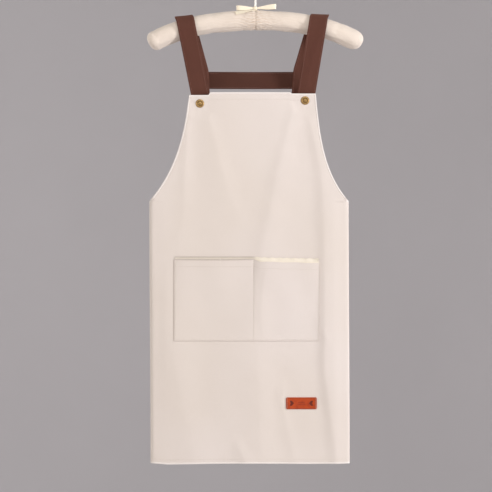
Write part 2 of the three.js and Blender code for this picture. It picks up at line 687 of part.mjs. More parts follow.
// Cap and socket grip the bib and its facing; stud and post grip the strap's end.
function makeSnap(name, [x, z]) {
  const capBackY = panelFrontY - GAP;
  const facingBackY = PANEL_BACK_Y + GAP + FACING_THICKNESS;
  const socketFrontY = facingBackY + GAP;
  const boreY = socketFrontY + 1.1;
  const socketBackY = socketFrontY + 3.7;
  const studBackY = strapEndFrontY - GAP;
  const studFlangeY = studBackY - 0.9;
  const postFrontY = strapEndFrontY + STRAP_THICKNESS + GAP;
  const rivetY = boreY + GAP;

  add(`snap_cap_${name}`, turnedAlongY([
    [0, capBackY - 1.9],
    [3.4, capBackY - 1.7],
    [4.1, capBackY - 1.35],
    [5.4, capBackY - 1.6],
    [7.6, capBackY - 1.2],
    [CAP_RADIUS, capBackY - 0.4],
    [CAP_RADIUS - 0.3, capBackY],
    [POST_RADIUS, capBackY],
    [POST_RADIUS, rivetY],
    [POST_RADIUS + 1, rivetY],
    [POST_RADIUS + 0.8, rivetY + 0.5],
    [0, rivetY + 0.5],
  ], x, z, 24), "brass");

  add(`snap_socket_${name}`, turnedAlongY([
    [CLOTH_HOLE_RADIUS, socketFrontY],
    [SOCKET_RADIUS, socketFrontY],
    [SOCKET_RADIUS, socketFrontY + 1.2],
    [4.6, socketBackY],
    [3.2, socketBackY],
    [3.2, boreY],
    [CLOTH_HOLE_RADIUS, boreY],
    [CLOTH_HOLE_RADIUS, socketFrontY],
  ], x, z), "brass");

  add(`snap_stud_${name}`, turnedAlongY([
    [0, studFlangeY - 1.4],
    [2.2, studFlangeY - 1.4],
    [2.75, studFlangeY - 0.9],
    [2.3, studFlangeY - 0.1],
    [2.3, studFlangeY],
    [STUD_RADIUS, studFlangeY],
    [STUD_RADIUS, studBackY],
    [POST_RADIUS + GAP, studBackY],
    [POST_RADIUS + GAP, studBackY - 0.6],
    [0, studBackY - 0.6],
  ], x, z), "brass");

  add(`snap_post_${name}`, turnedAlongY([
    [0, studBackY - GAP],
    [POST_RADIUS, studBackY - GAP],
    [POST_RADIUS, postFrontY],
    [STUD_RADIUS, postFrontY],
    [STUD_RADIUS, postFrontY + 0.6],
    [STUD_RADIUS - 0.6, postFrontY + 1],
    [0, postFrontY + 1],
  ], x, z), "brass");
}

makeHook();
makeArm();
makeBow();
makeStraps();
makeCloth();
makePocket();
makeLabel();
for (const [name, strap] of Object.entries(STRAPS)) makeSnap(name, strap.snap);

export default object;
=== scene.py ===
"""An apron on a padded clothes hanger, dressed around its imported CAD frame.

Metres, +Z up, +X to the right seen from the front, which faces -Y. The origin is where the rail
bears in the hook. Every cloth piece is built from its cut: a grid of threads laid on the shape
it hangs in, then given its thickness, its hems and its stitches.
"""

import json
import math

import bpy
import numpy as np
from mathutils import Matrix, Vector


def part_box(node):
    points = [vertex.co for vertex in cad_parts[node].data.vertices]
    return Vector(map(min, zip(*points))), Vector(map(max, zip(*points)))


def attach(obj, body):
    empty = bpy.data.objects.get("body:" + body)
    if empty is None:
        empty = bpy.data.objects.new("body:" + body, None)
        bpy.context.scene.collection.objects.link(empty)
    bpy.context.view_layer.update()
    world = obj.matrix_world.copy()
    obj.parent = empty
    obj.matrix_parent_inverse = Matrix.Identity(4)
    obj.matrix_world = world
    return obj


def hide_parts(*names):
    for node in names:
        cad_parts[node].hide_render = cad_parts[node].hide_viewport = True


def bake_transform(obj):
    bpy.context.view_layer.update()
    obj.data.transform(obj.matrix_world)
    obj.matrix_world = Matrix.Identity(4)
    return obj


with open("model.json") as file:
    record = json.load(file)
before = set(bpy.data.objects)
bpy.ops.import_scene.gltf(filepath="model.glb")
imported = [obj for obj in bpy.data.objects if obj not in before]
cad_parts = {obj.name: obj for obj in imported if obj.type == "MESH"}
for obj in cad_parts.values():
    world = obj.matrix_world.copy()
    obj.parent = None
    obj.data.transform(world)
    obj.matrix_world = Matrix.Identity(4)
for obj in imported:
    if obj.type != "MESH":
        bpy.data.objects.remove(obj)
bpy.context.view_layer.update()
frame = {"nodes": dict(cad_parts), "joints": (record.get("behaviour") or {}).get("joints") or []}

MM = 0.001

# ---- driving dimensions ---------------------------------------------------------------------

# Camera: straight on, level with the middle of the picture
VIEW_CENTRE_X, VIEW_CENTRE_Z = -0.0188, -0.5412
VIEW_SIDE = 0.984
CAMERA_DISTANCE = 3.6
SENSOR_MM = 36.0

# Cloth
CANVAS_THICKNESS = 1.2 * MM
HALF_CANVAS = CANVAS_THICKNESS / 2
FACING_THICKNESS = 1.0 * MM
STRAP_THICKNESS = 1.5 * MM
STRAP_WIDTH = 36 * MM
RIBBON_THICKNESS = 0.5 * MM
GAP = 0.3 * MM

# Front panel, from the frame's own pieces
FRONT_LOW, FRONT_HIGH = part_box("front_panel")
FACING_LOW, FACING_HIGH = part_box("bib_facing")
POCKET_LOW, POCKET_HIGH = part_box("pocket")
LABEL_LOW, LABEL_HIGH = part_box("leather_label")
HEM_Z, BIB_TOP_Z = FRONT_LOW.z, FRONT_HIGH.z
PANEL_Y = FRONT_LOW.y + HALF_CANVAS
WING_Y = FRONT_HIGH.y - HALF_CANVAS
FOLD_RADIUS = (WING_Y - PANEL_Y) / 2
FOLD_Y = (WING_Y + PANEL_Y) / 2
BIB_CENTRE_X = -0.006
BIB_HALF = 0.1265
BIB_STEPS = {-1: (-0.090, 0.0055), 1: (0.069, 0.0025)}
BIB_STEP_RUN = 0.002
UNDERARM_Z = -0.452
WING_TOP_Z = -0.461
ARMHOLE_BELLY, ARMHOLE_BELLY_Z = 0.051, -0.395
ARMHOLE_FLARE, ARMHOLE_FLARE_Z = 0.0075, -0.320
POCKET_DIVIDER_X = -0.0038
POCKET_HEIGHT = POCKET_HIGH.z - POCKET_LOW.z

# Straps
SIDES = {"left": -1, "right": 1}
STRAPS = {
    "left": dict(top_x=-0.1416, front_slant=0.196, back_slant=0.27, corner_x=-0.093),
    "right": dict(top_x=0.1274, front_slant=0.161, back_slant=0.296, corner_x=0.069),
}
STRAP_END_LOW, STRAP_END_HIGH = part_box("strap_end_left")
STRAP_BEHIND_BIB_Y = (STRAP_END_LOW.y + STRAP_END_HIGH.y) / 2
STRAP_SPLIT_Z = -0.242
STRAP_JOIN_Z = -0.207
STRAP_MEET_Z = -0.495
CROSS_LOW, CROSS_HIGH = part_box("cross_strap")

# Padded arm
PAD_TOP_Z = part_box("cover_left")[1].z
PAD_HALF_HEIGHT = 0.0194
PAD_HALF_DEPTH = 0.020
PAD_HALF_SPAN = 0.212
PAD_LEFT_END, PAD_RIGHT_END = 0.014, 0.022
PAD_END_POWER = 2.5
ARCH_SQUARE, ARCH_FOURTH = 0.707, 7.66
PAD_SEAM_ROLL = math.radians(142)

JOINTS = {joint["name"]: joint for joint in frame["joints"]}
SWING_Z = JOINTS["apron_swing"]["pos_m"][2]


def smoothstep(t):
    t = np.clip(t, 0, 1)
    return t * t * (3 - 2 * t)


def fade(value, start, length):
    """1 up to start, then smoothly down to 0 over a length."""
    return 1 - smoothstep((value - start) / length)


def bell(offset, width, power=2):
    return np.exp(-np.abs(offset / width) ** power)


def lerp(a, b, t):
    return a + (b - a) * t


def angles(count):
    return np.linspace(0, 2 * math.pi, count, endpoint=False)


def xyz(x, y, z):
    return np.stack(np.broadcast_arrays(x, y, z), axis=-1)


# ---- meshes ---------------------------------------------------------------------------------


def mesh_from(name, points, faces, material, weave=None):
    """A mesh object; weave is where each point lies on its flat cloth, in metres."""
    mesh = bpy.data.meshes.new(name)
    points = np.asarray(points, float).reshape(-1, 3)
    mesh.from_pydata(points.tolist(), [], [list(map(int, face)) for face in faces])
    if weave is not None:
        flat = np.zeros((len(points), 3), np.float32)
        flat[:, :2] = np.asarray(weave).reshape(-1, 2)
        layer = mesh.attributes.new("weave", "FLOAT_VECTOR", "POINT")
        layer.data.foreach_set("vector", flat.ravel())
    mesh.update()
    obj = bpy.data.objects.new(name, mesh)
    bpy.context.scene.collection.objects.link(obj)
    mesh.materials.append(material)
    mesh.shade_smooth()
    return obj


def grid_faces(rows, columns, wrap=False):
    index = np.arange(rows * columns).reshape(rows, columns)
    if wrap:
        index = np.concatenate([index, index[:, :1]], axis=1)
    corners = (index[:-1, :-1], index[:-1, 1:], index[1:, 1:], index[1:, :-1])
    return np.stack(corners, -1).reshape(-1, 4)


def tube_faces(rows, columns):
    """A tube's sides, then its two end caps."""
    ends = [range(columns - 1, -1, -1), range(columns * (rows - 1), columns * rows)]
    return [*grid_faces(rows, columns, wrap=True), *ends]


def apply_modifiers(obj):
    bpy.context.view_layer.update()
    evaluated = obj.evaluated_get(bpy.context.evaluated_depsgraph_get())
    mesh = bpy.data.meshes.new_from_object(evaluated)
    obj.modifiers.clear()
    obj.data = mesh
    mesh.shade_smooth()


def sharpen(obj, degrees):
    obj.data.set_sharp_from_angle(angle=math.radians(degrees))


def weld(obj, distance):
    obj.modifiers.new("weld", "WELD").merge_threshold = distance
    apply_modifiers(obj)


def thicken(obj, thickness, offset=0.0):
    """Gives a sheet its thickness, and keeps its cut edges crisp."""
    solidify = obj.modifiers.new("thickness", "SOLIDIFY")
    solidify.thickness = thickness
    solidify.offset = offset
    apply_modifiers(obj)
    sharpen(obj, 50)
    return obj


def mark(obj, name, values):
    """Writes a number at each point, which the material reads by its name."""
    values = np.asarray(values, np.float32).ravel()
    obj.data.attributes.new(name, "FLOAT", "POINT").data.foreach_set("value", values)


def cloth(name, points, thickness, material, weave=None, marks=None):
    """A thickened sheet through a grid of points; its threads run along x and z unless told."""
    weave = points[..., [0, 2]] if weave is None else weave
    obj = mesh_from(name, points, grid_faces(*points.shape[:2]), material, weave)
    for key, values in (marks or {}).items():
        mark(obj, key, values)
    return thicken(obj, thickness)


def arc_lengths(points):
    return np.concatenate([[0], np.cumsum(np.linalg.norm(np.diff(points, axis=0), axis=1))])


def interpolated(at, reach, rows):
    return np.stack([np.interp(at, reach, rows[:, k]) for k in range(3)], axis=1)


def resampled(path, step):
    """Points a step apart along a line of points, and how far along it each one is."""
    path = np.asarray(path, float)
    reach = arc_lengths(path)
    at = np.linspace(0, reach[-1], max(int(round(reach[-1] / step)), 1) + 1)
    return interpolated(at, reach, path), at


def unit(vectors):
    return vectors / np.linalg.norm(vectors, axis=-1, keepdims=True)


def tangents(points):
    return unit(np.gradient(points, axis=0))


def square_to(along, vectors):
    return unit(vectors - along * np.sum(vectors * along, axis=1, keepdims=True))


def band(name, points, across, width, thickness, material, relief=None, columns=12):
    """A flat band along points. Its section is a flattened round-edged bar; across is the way
    its width lies at each point. relief(a, s) lifts the cloth, a from -1 to 1 and s in metres."""
    along = tangents(points)
    across = square_to(along, across)
    outward = np.cross(across, along)
    reach = arc_lengths(points)
    a = np.linspace(-1, 1, columns + 1)
    edge = thickness / 2
    section = [*((v, edge) for v in a), (1.0, 0.0), *((v, -edge) for v in a[::-1]), (-1.0, 0.0)]
    inset = 1 - 0.6 * thickness / np.max(width)
    width = np.broadcast_to(width, len(points))
    rings, weave = [], []
    for i, point in enumerate(points):
        for v, h in section:
            reached = v if h == 0 else v * inset
            lift = relief(v, reach[i]) if relief else 0.0
            rings.append(point + across[i] * (reached * width[i] / 2) + outward[i] * (h + lift))
            weave.append((v * width[i] / 2, reach[i]))
    faces = [face[::-1] for face in tube_faces(len(points), len(section))]
    piece = mesh_from(name, rings, faces, material, weave)
    sharpen(piece, 60)
    return piece


STITCH_SIDES = 6
STITCH_RINGS = ((-0.36, 0.7), (0.0, 1.0), (0.36, 0.7))
STITCH_PITCH = 3.2 * MM


def stitch_template():
    """One stitch of unit length and radius: a tapered tube along x, and its faces."""
    points = [(-0.5, 0, 0)]
    turns = angles(STITCH_SIDES)
    for place, swell in STITCH_RINGS:
        points += [(place, swell * math.cos(turn), swell * math.sin(turn)) for turn in turns]
    points.append((0.5, 0, 0))
    last_ring = 1 + (len(STITCH_RINGS) - 1) * STITCH_SIDES
    faces = []
    for k in range(STITCH_SIDES):
        n = (k + 1) % STITCH_SIDES
        faces.append((0, 1 + n, 1 + k))
        for a in range(1, last_ring, STITCH_SIDES):
            faces.append((a + k, a + n, a + STITCH_SIDES + n, a + STITCH_SIDES + k))
        faces.append((last_ring + k, last_ring + n, len(points) - 1))
    return np.array(points), faces


def stitching(name, seams, material, pitch=STITCH_PITCH, length=2.5 * MM, radius=0.28 * MM):
    """One mesh of thread stitches along seams, each a path and its outward side: one vector, or
    one for each point of the path."""
    template, template_faces = stitch_template()
    points, faces = [], []
    for path, outward in seams:
        centres, at = resampled(path, pitch)
        outward = np.asarray(outward, float)
        if outward.ndim > 1:
            outward = interpolated(at, arc_lengths(path), outward)
        along = tangents(centres)
        out = square_to(along, outward)
        for c, t, s, o in zip(centres, along, np.cross(along, out), out):
            first = len(points) * len(template)
            thick = template[:, 1:2] * s * radius + template[:, 2:] * o * radius
            points.append(c + template[:, :1] * t * length + thick)
            faces += [[i + first for i in face] for face in template_faces]
    return mesh_from(name, np.concatenate(points), faces, material)


def turned(name, rows, centre, material, segments=48):
    """A turned piece about an axis along Y through centre: rows of (radius, y), front first."""
    radius, y = (np.array(rows)[:, k, None] for k in (0, 1))
    turn = angles(segments)
    points = xyz(centre[0] + radius * np.cos(turn), y, centre[1] + radius * np.sin(turn))
    obj = mesh_from(name, points, grid_faces(len(rows), segments, wrap=True), material)
    weld(obj, 0.02 * MM)
    sharpen(obj, 40)
    return obj


def settle(body, slot, *pieces):
    for piece in pieces:
        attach(piece, body)


# ---- materials ------------------------------------------------------------------------------


class Look:
    """A material in the making: a Principled shader and the nodes that feed it."""

    def __init__(self, name, roughness, **inputs):
        self.material = bpy.data.materials.new(name)
        self.material.use_nodes = True
        self.tree = self.material.node_tree
        self.shader = self.tree.nodes["Principled BSDF"]
        for key, value in {"Roughness": roughness, **inputs}.items():
            self.shader.inputs[key.replace("_", " ")].default_value = value

    def node(self, kind, inputs, **settings):
        made = self.tree.nodes.new("ShaderNode" + kind)
        for key, value in settings.items():
            setattr(made, key, value)
        for key, value in inputs.items():
            if isinstance(value, bpy.types.NodeSocket):
                self.tree.links.new(value, made.inputs[key])
            else:
                made.inputs[key].default_value = value
        return made

    def mix(self, factor, a, b):
        """A colour between a and b by a socket from 0 to 1."""
        colours = {k: (*v, 1) if isinstance(v, tuple) else v for k, v in ((6, a), (7, b))}
        return self.node("Mix", {0: factor, **colours}, data_type="RGBA").outputs[2]

    def maths(self, operation, a, b=0.0):
        return self.node("Math", {0: a, 1: b}, operation=operation).outputs[0]

    def add(self, a, b):
        return self.maths("ADD", a, b)

    def times(self, a, b):
        return self.maths("MULTIPLY", a, b)

    def ramp(self, value, low, high):
        """value taken from low..high to 0..1, clamped."""
        inputs = {"Value": value, "From Min": low, "From Max": high}
        return self.node("MapRange", inputs).outputs["Result"]

    def marked(self, name):
        return self.node("Attribute", {}, attribute_name=name).outputs["Fac"]

    def weave(self):
        return self.node("Attribute", {}, attribute_name="weave").outputs["Vector"]

    def place(self):
        return self.node("TexCoord", {}).outputs["Object"]

    def stretched(self, place, scale, turn=0.0):
        inputs = {"Vector": place, "Scale": scale, "Rotation": (0, 0, turn)}
        return self.node("Mapping", inputs).outputs["Vector"]

    def noise(self, place, scale, detail=3.0, roughness=0.55):
        inputs = {"Vector": place, "Scale": scale, "Detail": detail, "Roughness": roughness}
        return self.node("TexNoise", inputs).outputs["Fac"]

    def voronoi(self, scale, **settings):
        inputs = {"Vector": self.place(), "Scale": scale}
        return self.node("TexVoronoi", inputs, **settings).outputs["Distance"]

    def ridges(self, place, pitch, direction, distortion):
        """Ridges a pitch apart, from 0 to 1; a wave texture turns 20 radians per unit of scale."""
        scale = 2 * math.pi / 20 / pitch
        inputs = {"Vector": place, "Scale": scale, "Distortion": distortion, "Detail Scale": 1.5}
        made = self.node("TexWave", inputs, wave_type="BANDS", bands_direction=direction)
        return made.outputs["Fac"]

    def done(self, base, height=None, bump=0.0):
        self.tree.links.new(base, self.shader.inputs["Base Color"])
        if height is not None:
            made = self.node("Bump", {"Height": height, "Distance": bump, "Strength": 1.0})
            self.tree.links.new(made.outputs["Normal"], self.shader.inputs["Normal"])
        return self.material


def woven(name, colour, shade, pitch, roughness, bump, slub=0.5, sheen=0.1, tone=None, hem=None,
          crease=None):
    """Plain-woven cloth: crossing threads, slubs along both, and slow changes of tone. hem is the
    colour where the cloth is marked so; crease is painted shade, laid where the cloth is marked
    crease."""
    look = Look(name, roughness, Sheen_Weight=sheen, Sheen_Roughness=0.6, Specular_IOR_Level=0.25)
    place = look.weave()
    warp, weft = (look.ridges(place, pitch, axis, 0.6) for axis in "XY")
    threads = look.maths("MAXIMUM", warp, weft)
    along, over = (
        look.noise(look.stretched(place, scale), 1.0) for scale in ((1400, 45, 1), (45, 1400, 1))
    )
    slubs = look.times(look.add(along, over), slub)
    cloud = look.noise(place, 9.0, detail=4.0)
    shading = look.add(look.times(slubs, 0.9), look.times(cloud, 0.5))
    base = look.mix(look.ramp(shading, 0.35, 1.15), shade, colour)
    if tone:
        base = look.mix(look.ramp(look.noise(place, 3.0, detail=1.0), 0.35, 0.7), base, tone)
    if hem:
        base = look.mix(look.times(look.marked("hem"), 0.75), base, hem)
    gap_colour = tuple(0.93 * channel for channel in shade)
    base = look.mix(look.ramp(threads, 0.15, 0.75), gap_colour, base)
    # Painted shade: darkened towards the crease colour where the cloth is marked crease.
    if crease:
        base = look.mix(look.times(look.marked("crease"), 0.8), base, crease)
    return look.done(base, look.add(threads, look.times(slubs, 0.8)), bump)


def strap_twill(name, shade=1.0):
    """Brown cotton twill: fine slanting ribs, with worn lighter threads. shade scales its colours
    and its sheen; below 1 it gives a darker copy, painted with shade.
    """
    colours = ((0.060, 0.0198, 0.0128), (0.128, 0.0485, 0.0330), (0.104, 0.037, 0.0245))
    dark, light, worn = (tuple(shade * channel for channel in colour) for colour in colours)
    look = Look(
        name, 0.8, Sheen_Weight=0.25 * shade, Sheen_Roughness=0.5,
        Specular_IOR_Level=0.2, Sheen_Tint=(0.55, 0.3, 0.22, 1),
    )
    place = look.weave()
    ribs = look.ridges(look.stretched(place, (1, 1, 1), math.radians(35)), 1.1 * MM, "X", 0.5)
    warp = look.ridges(place, 0.6 * MM, "X", 0.3)
    fibre = look.noise(look.stretched(place, (1600, 60, 1)), 1.0)
    shading = look.add(look.times(ribs, 0.45), look.times(fibre, 0.6))
    base = look.mix(look.ramp(shading, 0.2, 0.9), dark, light)
    base = look.mix(look.ramp(look.noise(place, 22.0), 0.3, 0.75), base, worn)
    return look.done(base, look.add(ribs, look.times(warp, 0.5)), 0.14 * MM)


def ribbon_satin():
    look = Look("ribbon_satin", 0.34, Sheen_Weight=0.2, Anisotropic=0.5)
    place = look.weave()
    fine = look.noise(look.stretched(place, (2600, 60, 1)), 1.0)
    both = look.add(look.times(fine, 0.6), look.times(look.noise(place, 60.0), 0.4))
    base = look.mix(look.ramp(both, 0.3, 0.7), (0.80, 0.70, 0.53), (0.90, 0.82, 0.66))
    return look.done(base, fine, 0.03 * MM)


def thread(name, colour, shade):
    """Sewing thread: twisted yarn with a soft lustre."""
    look = Look(name, 0.6, Sheen_Weight=0.15)
    twist = look.ridges(look.place(), 0.5 * MM, "DIAGONAL", 0.4)
    return look.done(look.mix(look.ramp(twist, 0.1, 0.9), shade, colour), twist, 0.05 * MM)


def antique_brass(name, centre):
    """Blackened brass, rubbed bright on its raised rings."""
    look = Look(name, 0.42, Metallic=1.0)
    place = look.place()
    shift = {"Vector": place, "Location": (-centre[0], 0, -centre[1])}
    local = look.node("Mapping", shift, vector_type="POINT").outputs["Vector"]
    flat = look.node("VectorMath", {0: local, 1: (1, 0, 1)}, operation="MULTIPLY").outputs[0]
    radius = look.node("VectorMath", {0: flat}, operation="LENGTH").outputs["Value"]
    ring = look.maths("ABSOLUTE", look.maths("SUBTRACT", radius, 4.3 * MM))
    patina = look.noise(place, 420.0, detail=5.0)
    worn = look.times(look.ramp(ring, 0.2 * MM, 1.1 * MM), look.ramp(patina, 0.0, 0.55))
    base = look.mix(worn, (0.10, 0.055, 0.02), (0.46, 0.30, 0.125))
    look.tree.links.new(look.ramp(patina, 0.9, 0.1), look.shader.inputs["Roughness"])
    return look.done(base, patina, 0.05 * MM)


def label_leather():
    look = Look("label_leather", 0.55, Specular_IOR_Level=0.3)
    pores = look.ramp(look.voronoi(900.0, feature="DISTANCE_TO_EDGE"), 0.0, 0.25)
    cloud = look.noise(look.place(), 95.0, detail=5.0)
    base = look.mix(look.ramp(cloud, 0.3, 0.7), (0.32, 0.034, 0.004), (0.485, 0.066, 0.007))
    base = look.mix(look.marked("pressed"), base, (0.13, 0.016, 0.006))
    return look.done(base, look.add(pores, look.times(cloud, 0.8)), 0.10 * MM)


def foam_rubber():
    look = Look("foam", 0.95)
    cells = look.ramp(look.voronoi(1100.0), 0.1, 0.7)
    return look.done(look.mix(cells, (0.83, 0.75, 0.42), (0.68, 0.58, 0.28)), cells, 0.3 * MM)


def grained(name, roughness, dark, light, stretch, noise, span=(0.3, 0.7), bump=None, **inputs):
    """A hard surface whose colour and bump follow one noise: its scale, detail and roughness."""
    look = Look(name, roughness, **inputs)
    grain = look.noise(look.stretched(look.place(), stretch), *noise)
    base = look.mix(look.ramp(grain, *span), dark, light)
    return look.done(base, grain if bump else None, bump)


CANVAS = woven(
    "apron_canvas", (0.700, 0.636, 0.585), (0.652, 0.580, 0.518), 0.75 * MM, 0.88, 0.07 * MM,
    tone=(0.719, 0.655, 0.622), hem=(0.81, 0.77, 0.737),
)
# Its crease colour is painted shade for the shadows at the pocket's mouth.
SELVAGE = woven(
    "selvage", (0.86, 0.80, 0.68), (0.74, 0.66, 0.55), 1.1 * MM, 0.9, 0.2 * MM, slub=0.7,
    crease=(0.43, 0.37, 0.33),
)
# Its crease colour is painted shade for the valleys of the cover's gathers.
COTTON = woven(
    "cover_cotton", (0.775, 0.700, 0.620), (0.710, 0.616, 0.527), 0.45 * MM, 0.85, 0.04 * MM,
    slub=0.4, sheen=0.2, crease=(0.55, 0.42, 0.31),
)
TWILL = strap_twill("strap_twill")
# The cross strap's twill is the same cloth darkened all over: painted shade for the shadow it hangs
# in behind the pad and the bib.
CROSS_TWILL_PAINTED_SHADE = strap_twill("cross_strap_twill_painted_shade", 0.72)
SATIN = ribbon_satin()
CREAM_THREAD = thread("cream_thread", (0.62, 0.545, 0.475), (0.48, 0.41, 0.345))
COTTON_TAPE = thread("cotton_tape", (0.80, 0.745, 0.675), (0.66, 0.60, 0.53))
EDGE_THREAD = thread("edge_thread", (0.36, 0.30, 0.245), (0.26, 0.21, 0.17))
BROWN_THREAD = thread("brown_thread", (0.27, 0.135, 0.10), (0.14, 0.062, 0.045))
LABEL_THREAD = thread("label_thread", (0.62, 0.42, 0.30), (0.40, 0.24, 0.15))
LEATHER = label_leather()
FOAM = foam_rubber()
SLEEVE = grained(
    "white_sleeve", 0.32, (0.80, 0.765, 0.69), (0.90, 0.875, 0.82), (1, 1, 1), (160.0, 5.0),
    bump=0.06 * MM, Specular_IOR_Level=0.5,
)
STEEL = grained(
    "steel", 0.35, (0.45, 0.46, 0.48), (0.62, 0.63, 0.65), (900, 900, 60), (1.0, 4.0),
    bump=0.03 * MM, Metallic=1.0,
)
WOOD = grained(
    "core_wood", 0.6, (0.50, 0.30, 0.135), (0.72, 0.50, 0.27), (9, 160, 160), (1.0, 6.0, 0.65),
    bump=0.15 * MM,
)
PAPER = grained(
    "studio_paper", 0.95, (0.584, 0.566, 0.576), (0.612, 0.593, 0.604), (1, 1, 1), (1.2,),
    span=(0.2, 0.8), Specular_IOR_Level=0.0,
)


# ---- the front cloth's shape ------------------------------------------------------------------

# Soft folds that hang in the front. Each is a crest given from top to bottom by rows of
# (x, z, height, width to the left, width to the right), in millimetres.
RIGHT_STUD_TO_HEM = (
    (81, -246, 0.0, 9, 16), (74, -275, 1.6, 12, 18), (44, -400, 3.0, 17, 26),
    (14, -556, 3.6, 22, 34), (2, -650, 3.4, 30, 40), (0, -740, 4.0, 60, 34),
    (5, -860, 5.2, 78, 34), (6, -977, 5.0, 84, 40),
)
RIGHT_SIDE = (
    (104, -268, 0.0, 8, 12), (112, -300, 1.4, 9, 14), (132, -390, 2.6, 13, 20),
    (140, -500, 4.2, 16, 40), (139, -640, 4.6, 11, 42), (140, -790, 4.2, 12, 42),
    (150, -870, 4.0, 13, 34), (166, -977, 3.4, 18, 18),
)
LEFT_STUD = (
    (-101, -262, 0.0, 12, 10), (-92, -290, 1.5, 18, 12), (-64, -400, 2.5, 30, 20),
    (-36, -500, 1.2, 34, 26), (-25, -560, 0.0, 30, 30),
)
LEFT_ARMHOLE = (
    (-124, -262, 0.0, 8, 8), (-136, -300, 1.4, 9, 9), (-140, -380, 2.2, 12, 13),
    (-142, -450, 1.8, 14, 18), (-150, -540, 0.6, 16, 22), (-150, -600, 0.0, 20, 20),
)
LEFT_SKIRT = (
    (-176, -560, 0.0, 20, 20), (-176, -640, 1.2, 20, 30), (-166, -740, 2.6, 26, 36),
    (-142, -860, 3.4, 34, 40), (-118, -977, 3.6, 44, 44),
)
HEM_LEFT_OF_MIDDLE = ((-40, -915, 0.0, 12, 12), (-34, -940, 1.5, 12, 14), (-18, -977, 2.4, 14, 16))
LABEL_SIDE = (
    (52, -800, 0.0, 14, 12), (54, -850, 1.4, 12, 8),
    (62, -900, 1.5, 14, 12), (80, -977, 1.8, 16, 18),
)
POCKET_CORNER = ((133, -700, 0.0, 8, 8), (140, -722, 1.3, 8, 9), (146, -748, 0.0, 8, 8))
FOLDS = (
    RIGHT_STUD_TO_HEM, RIGHT_SIDE, LEFT_STUD, LEFT_ARMHOLE, LEFT_SKIRT, HEM_LEFT_OF_MIDDLE,
    LABEL_SIDE, POCKET_CORNER,
)
FLAT_NEAR_STUD, FREE_OF_STUD = 14 * MM, 34 * MM
STUDS = {}
for name in STRAPS:
    low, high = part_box(f"snap_cap_{name}")
    STUDS[name] = ((low.x + high.x) / 2, (low.z + high.z) / 2)

# Slow ripples of the whole cloth: heading, phase, wavelength and share of the height
RIPPLE_HEIGHT = 0.16 * MM
RNG = np.random.default_rng(7)
RIPPLE_RANGES = ((0, 2 * math.pi), (0, 2 * math.pi), (0.045, 0.13), (0.25, 0.6))
RIPPLES = [[RNG.uniform(*span) for span in RIPPLE_RANGES] for _ in range(22)]


def fold_height(rows, x, z):
    rows = np.array(rows, float) * MM
    down, at = -rows[:, 1], -z
    crest, height, left, right = (np.interp(at, down, rows[:, k]) for k in (0, 2, 3, 4))
    inside = (at >= down[0]) & (at <= down[-1] + 10 * MM)
    return np.where(inside, height * bell(x - crest, np.where(x < crest, left, right), 1.8), 0.0)


def relief(x, z):
    """How far the front cloth stands forward of its flat hang, at x and z."""
    x, z = np.broadcast_arrays(np.asarray(x, float), np.asarray(z, float))
    lift = sum(fold_height(rows, x, z) for rows in FOLDS)
    for heading, phase, wavelength, share in RIPPLES:
        run = x * math.cos(heading) + z * math.sin(heading)
        lift = lift + RIPPLE_HEIGHT * share * (1 + np.sin(run * 2 * math.pi / wavelength + phase))
    left, right = skirt_edges(z)
    edge = np.minimum(x - left, right - x)
    lift = lift * np.where(z < UNDERARM_Z, smoothstep(edge / (34 * MM)), 1.0)
    for stud_x, stud_z in STUDS.values():
        away = np.hypot(x - stud_x, z - stud_z)
        lift = lift * smoothstep((away - FLAT_NEAR_STUD) / (FREE_OF_STUD - FLAT_NEAR_STUD))
        turn = np.arctan2(z - stud_z, x - stud_x)
        pucker = bell(away - 13 * MM, 9 * MM) * (1 + np.cos(7 * turn))
        lift = lift + 0.16 * MM * pucker * (away > 9 * MM)
    top = smoothstep((BIB_TOP_Z + 1 * MM - z) / (30 * MM))
    return lift * lerp(0.25, 1.0, top) + hem_roll(edge_distance(x, z))


def edge_distance(x, z):
    """How far x and z lie inside the front's cut edge: its armholes, its top and its hem."""
    away = np.minimum(bib_top(x) - z, z - hem_line(x))
    for side, (zs, xs) in ARMHOLES.items():
        slope = np.interp(z, zs, np.gradient(xs, zs))
        inside = side * (np.interp(z, zs, xs) - x) / np.hypot(1, slope)
        away = np.minimum(away, inside + np.maximum(UNDERARM_Z - z, 0))
    return np.maximum(away, 0.0)


def hem_roll(d):
    """A turned edge stands a little proud of its stitching and rounds off at its rim."""
    rim = -0.45 * MM * fade(d, 0, 1.2 * MM)
    proud = 0.35 * MM * fade(d, 2.4 * MM, 0.8 * MM)
    return rim + proud - 0.2 * MM * bell(d - 3.3 * MM, 0.7 * MM)


def skirt_edges(z):
    """Where the skirt's folded sides are: they lean a little to the right towards the hem."""
    lean = smoothstep((UNDERARM_Z - np.asarray(z, float)) / (UNDERARM_Z - HEM_Z))
    return FRONT_LOW.x + 0.5 * MM + 2.4 * MM * lean, FRONT_HIGH.x - 2.0 * MM * (1 - lean)


def fold_start(z):
    """Where the front stops being flat and starts round its side folds."""
    left, right = skirt_edges(z)
    return left + FOLD_RADIUS + HALF_CANVAS, right - FOLD_RADIUS - HALF_CANVAS


def fold_x(side, z):
    return fold_start(z)[0 if side < 0 else 1]


def armhole_x(side):
    """The armhole's edge: its heights, from the underarm up to the bib's corner, and its x."""
    t = np.linspace(0, 1, 80)
    skirt_x = skirt_edges(UNDERARM_Z)[0 if side < 0 else 1]
    bib_x = BIB_CENTRE_X + side * BIB_HALF
    xs = (skirt_x, skirt_x - side * ARMHOLE_BELLY, bib_x + side * ARMHOLE_FLARE, bib_x)
    zs = (UNDERARM_Z, ARMHOLE_BELLY_Z, ARMHOLE_FLARE_Z, BIB_TOP_Z)
    weights = ((1 - t) ** 3, 3 * t * (1 - t) ** 2, 3 * t * t * (1 - t), t ** 3)
    return sum(w * v for w, v in zip(weights, zs)), sum(w * v for w, v in zip(weights, xs))


ARMHOLES = {side: armhole_x(side) for side in (-1, 1)}


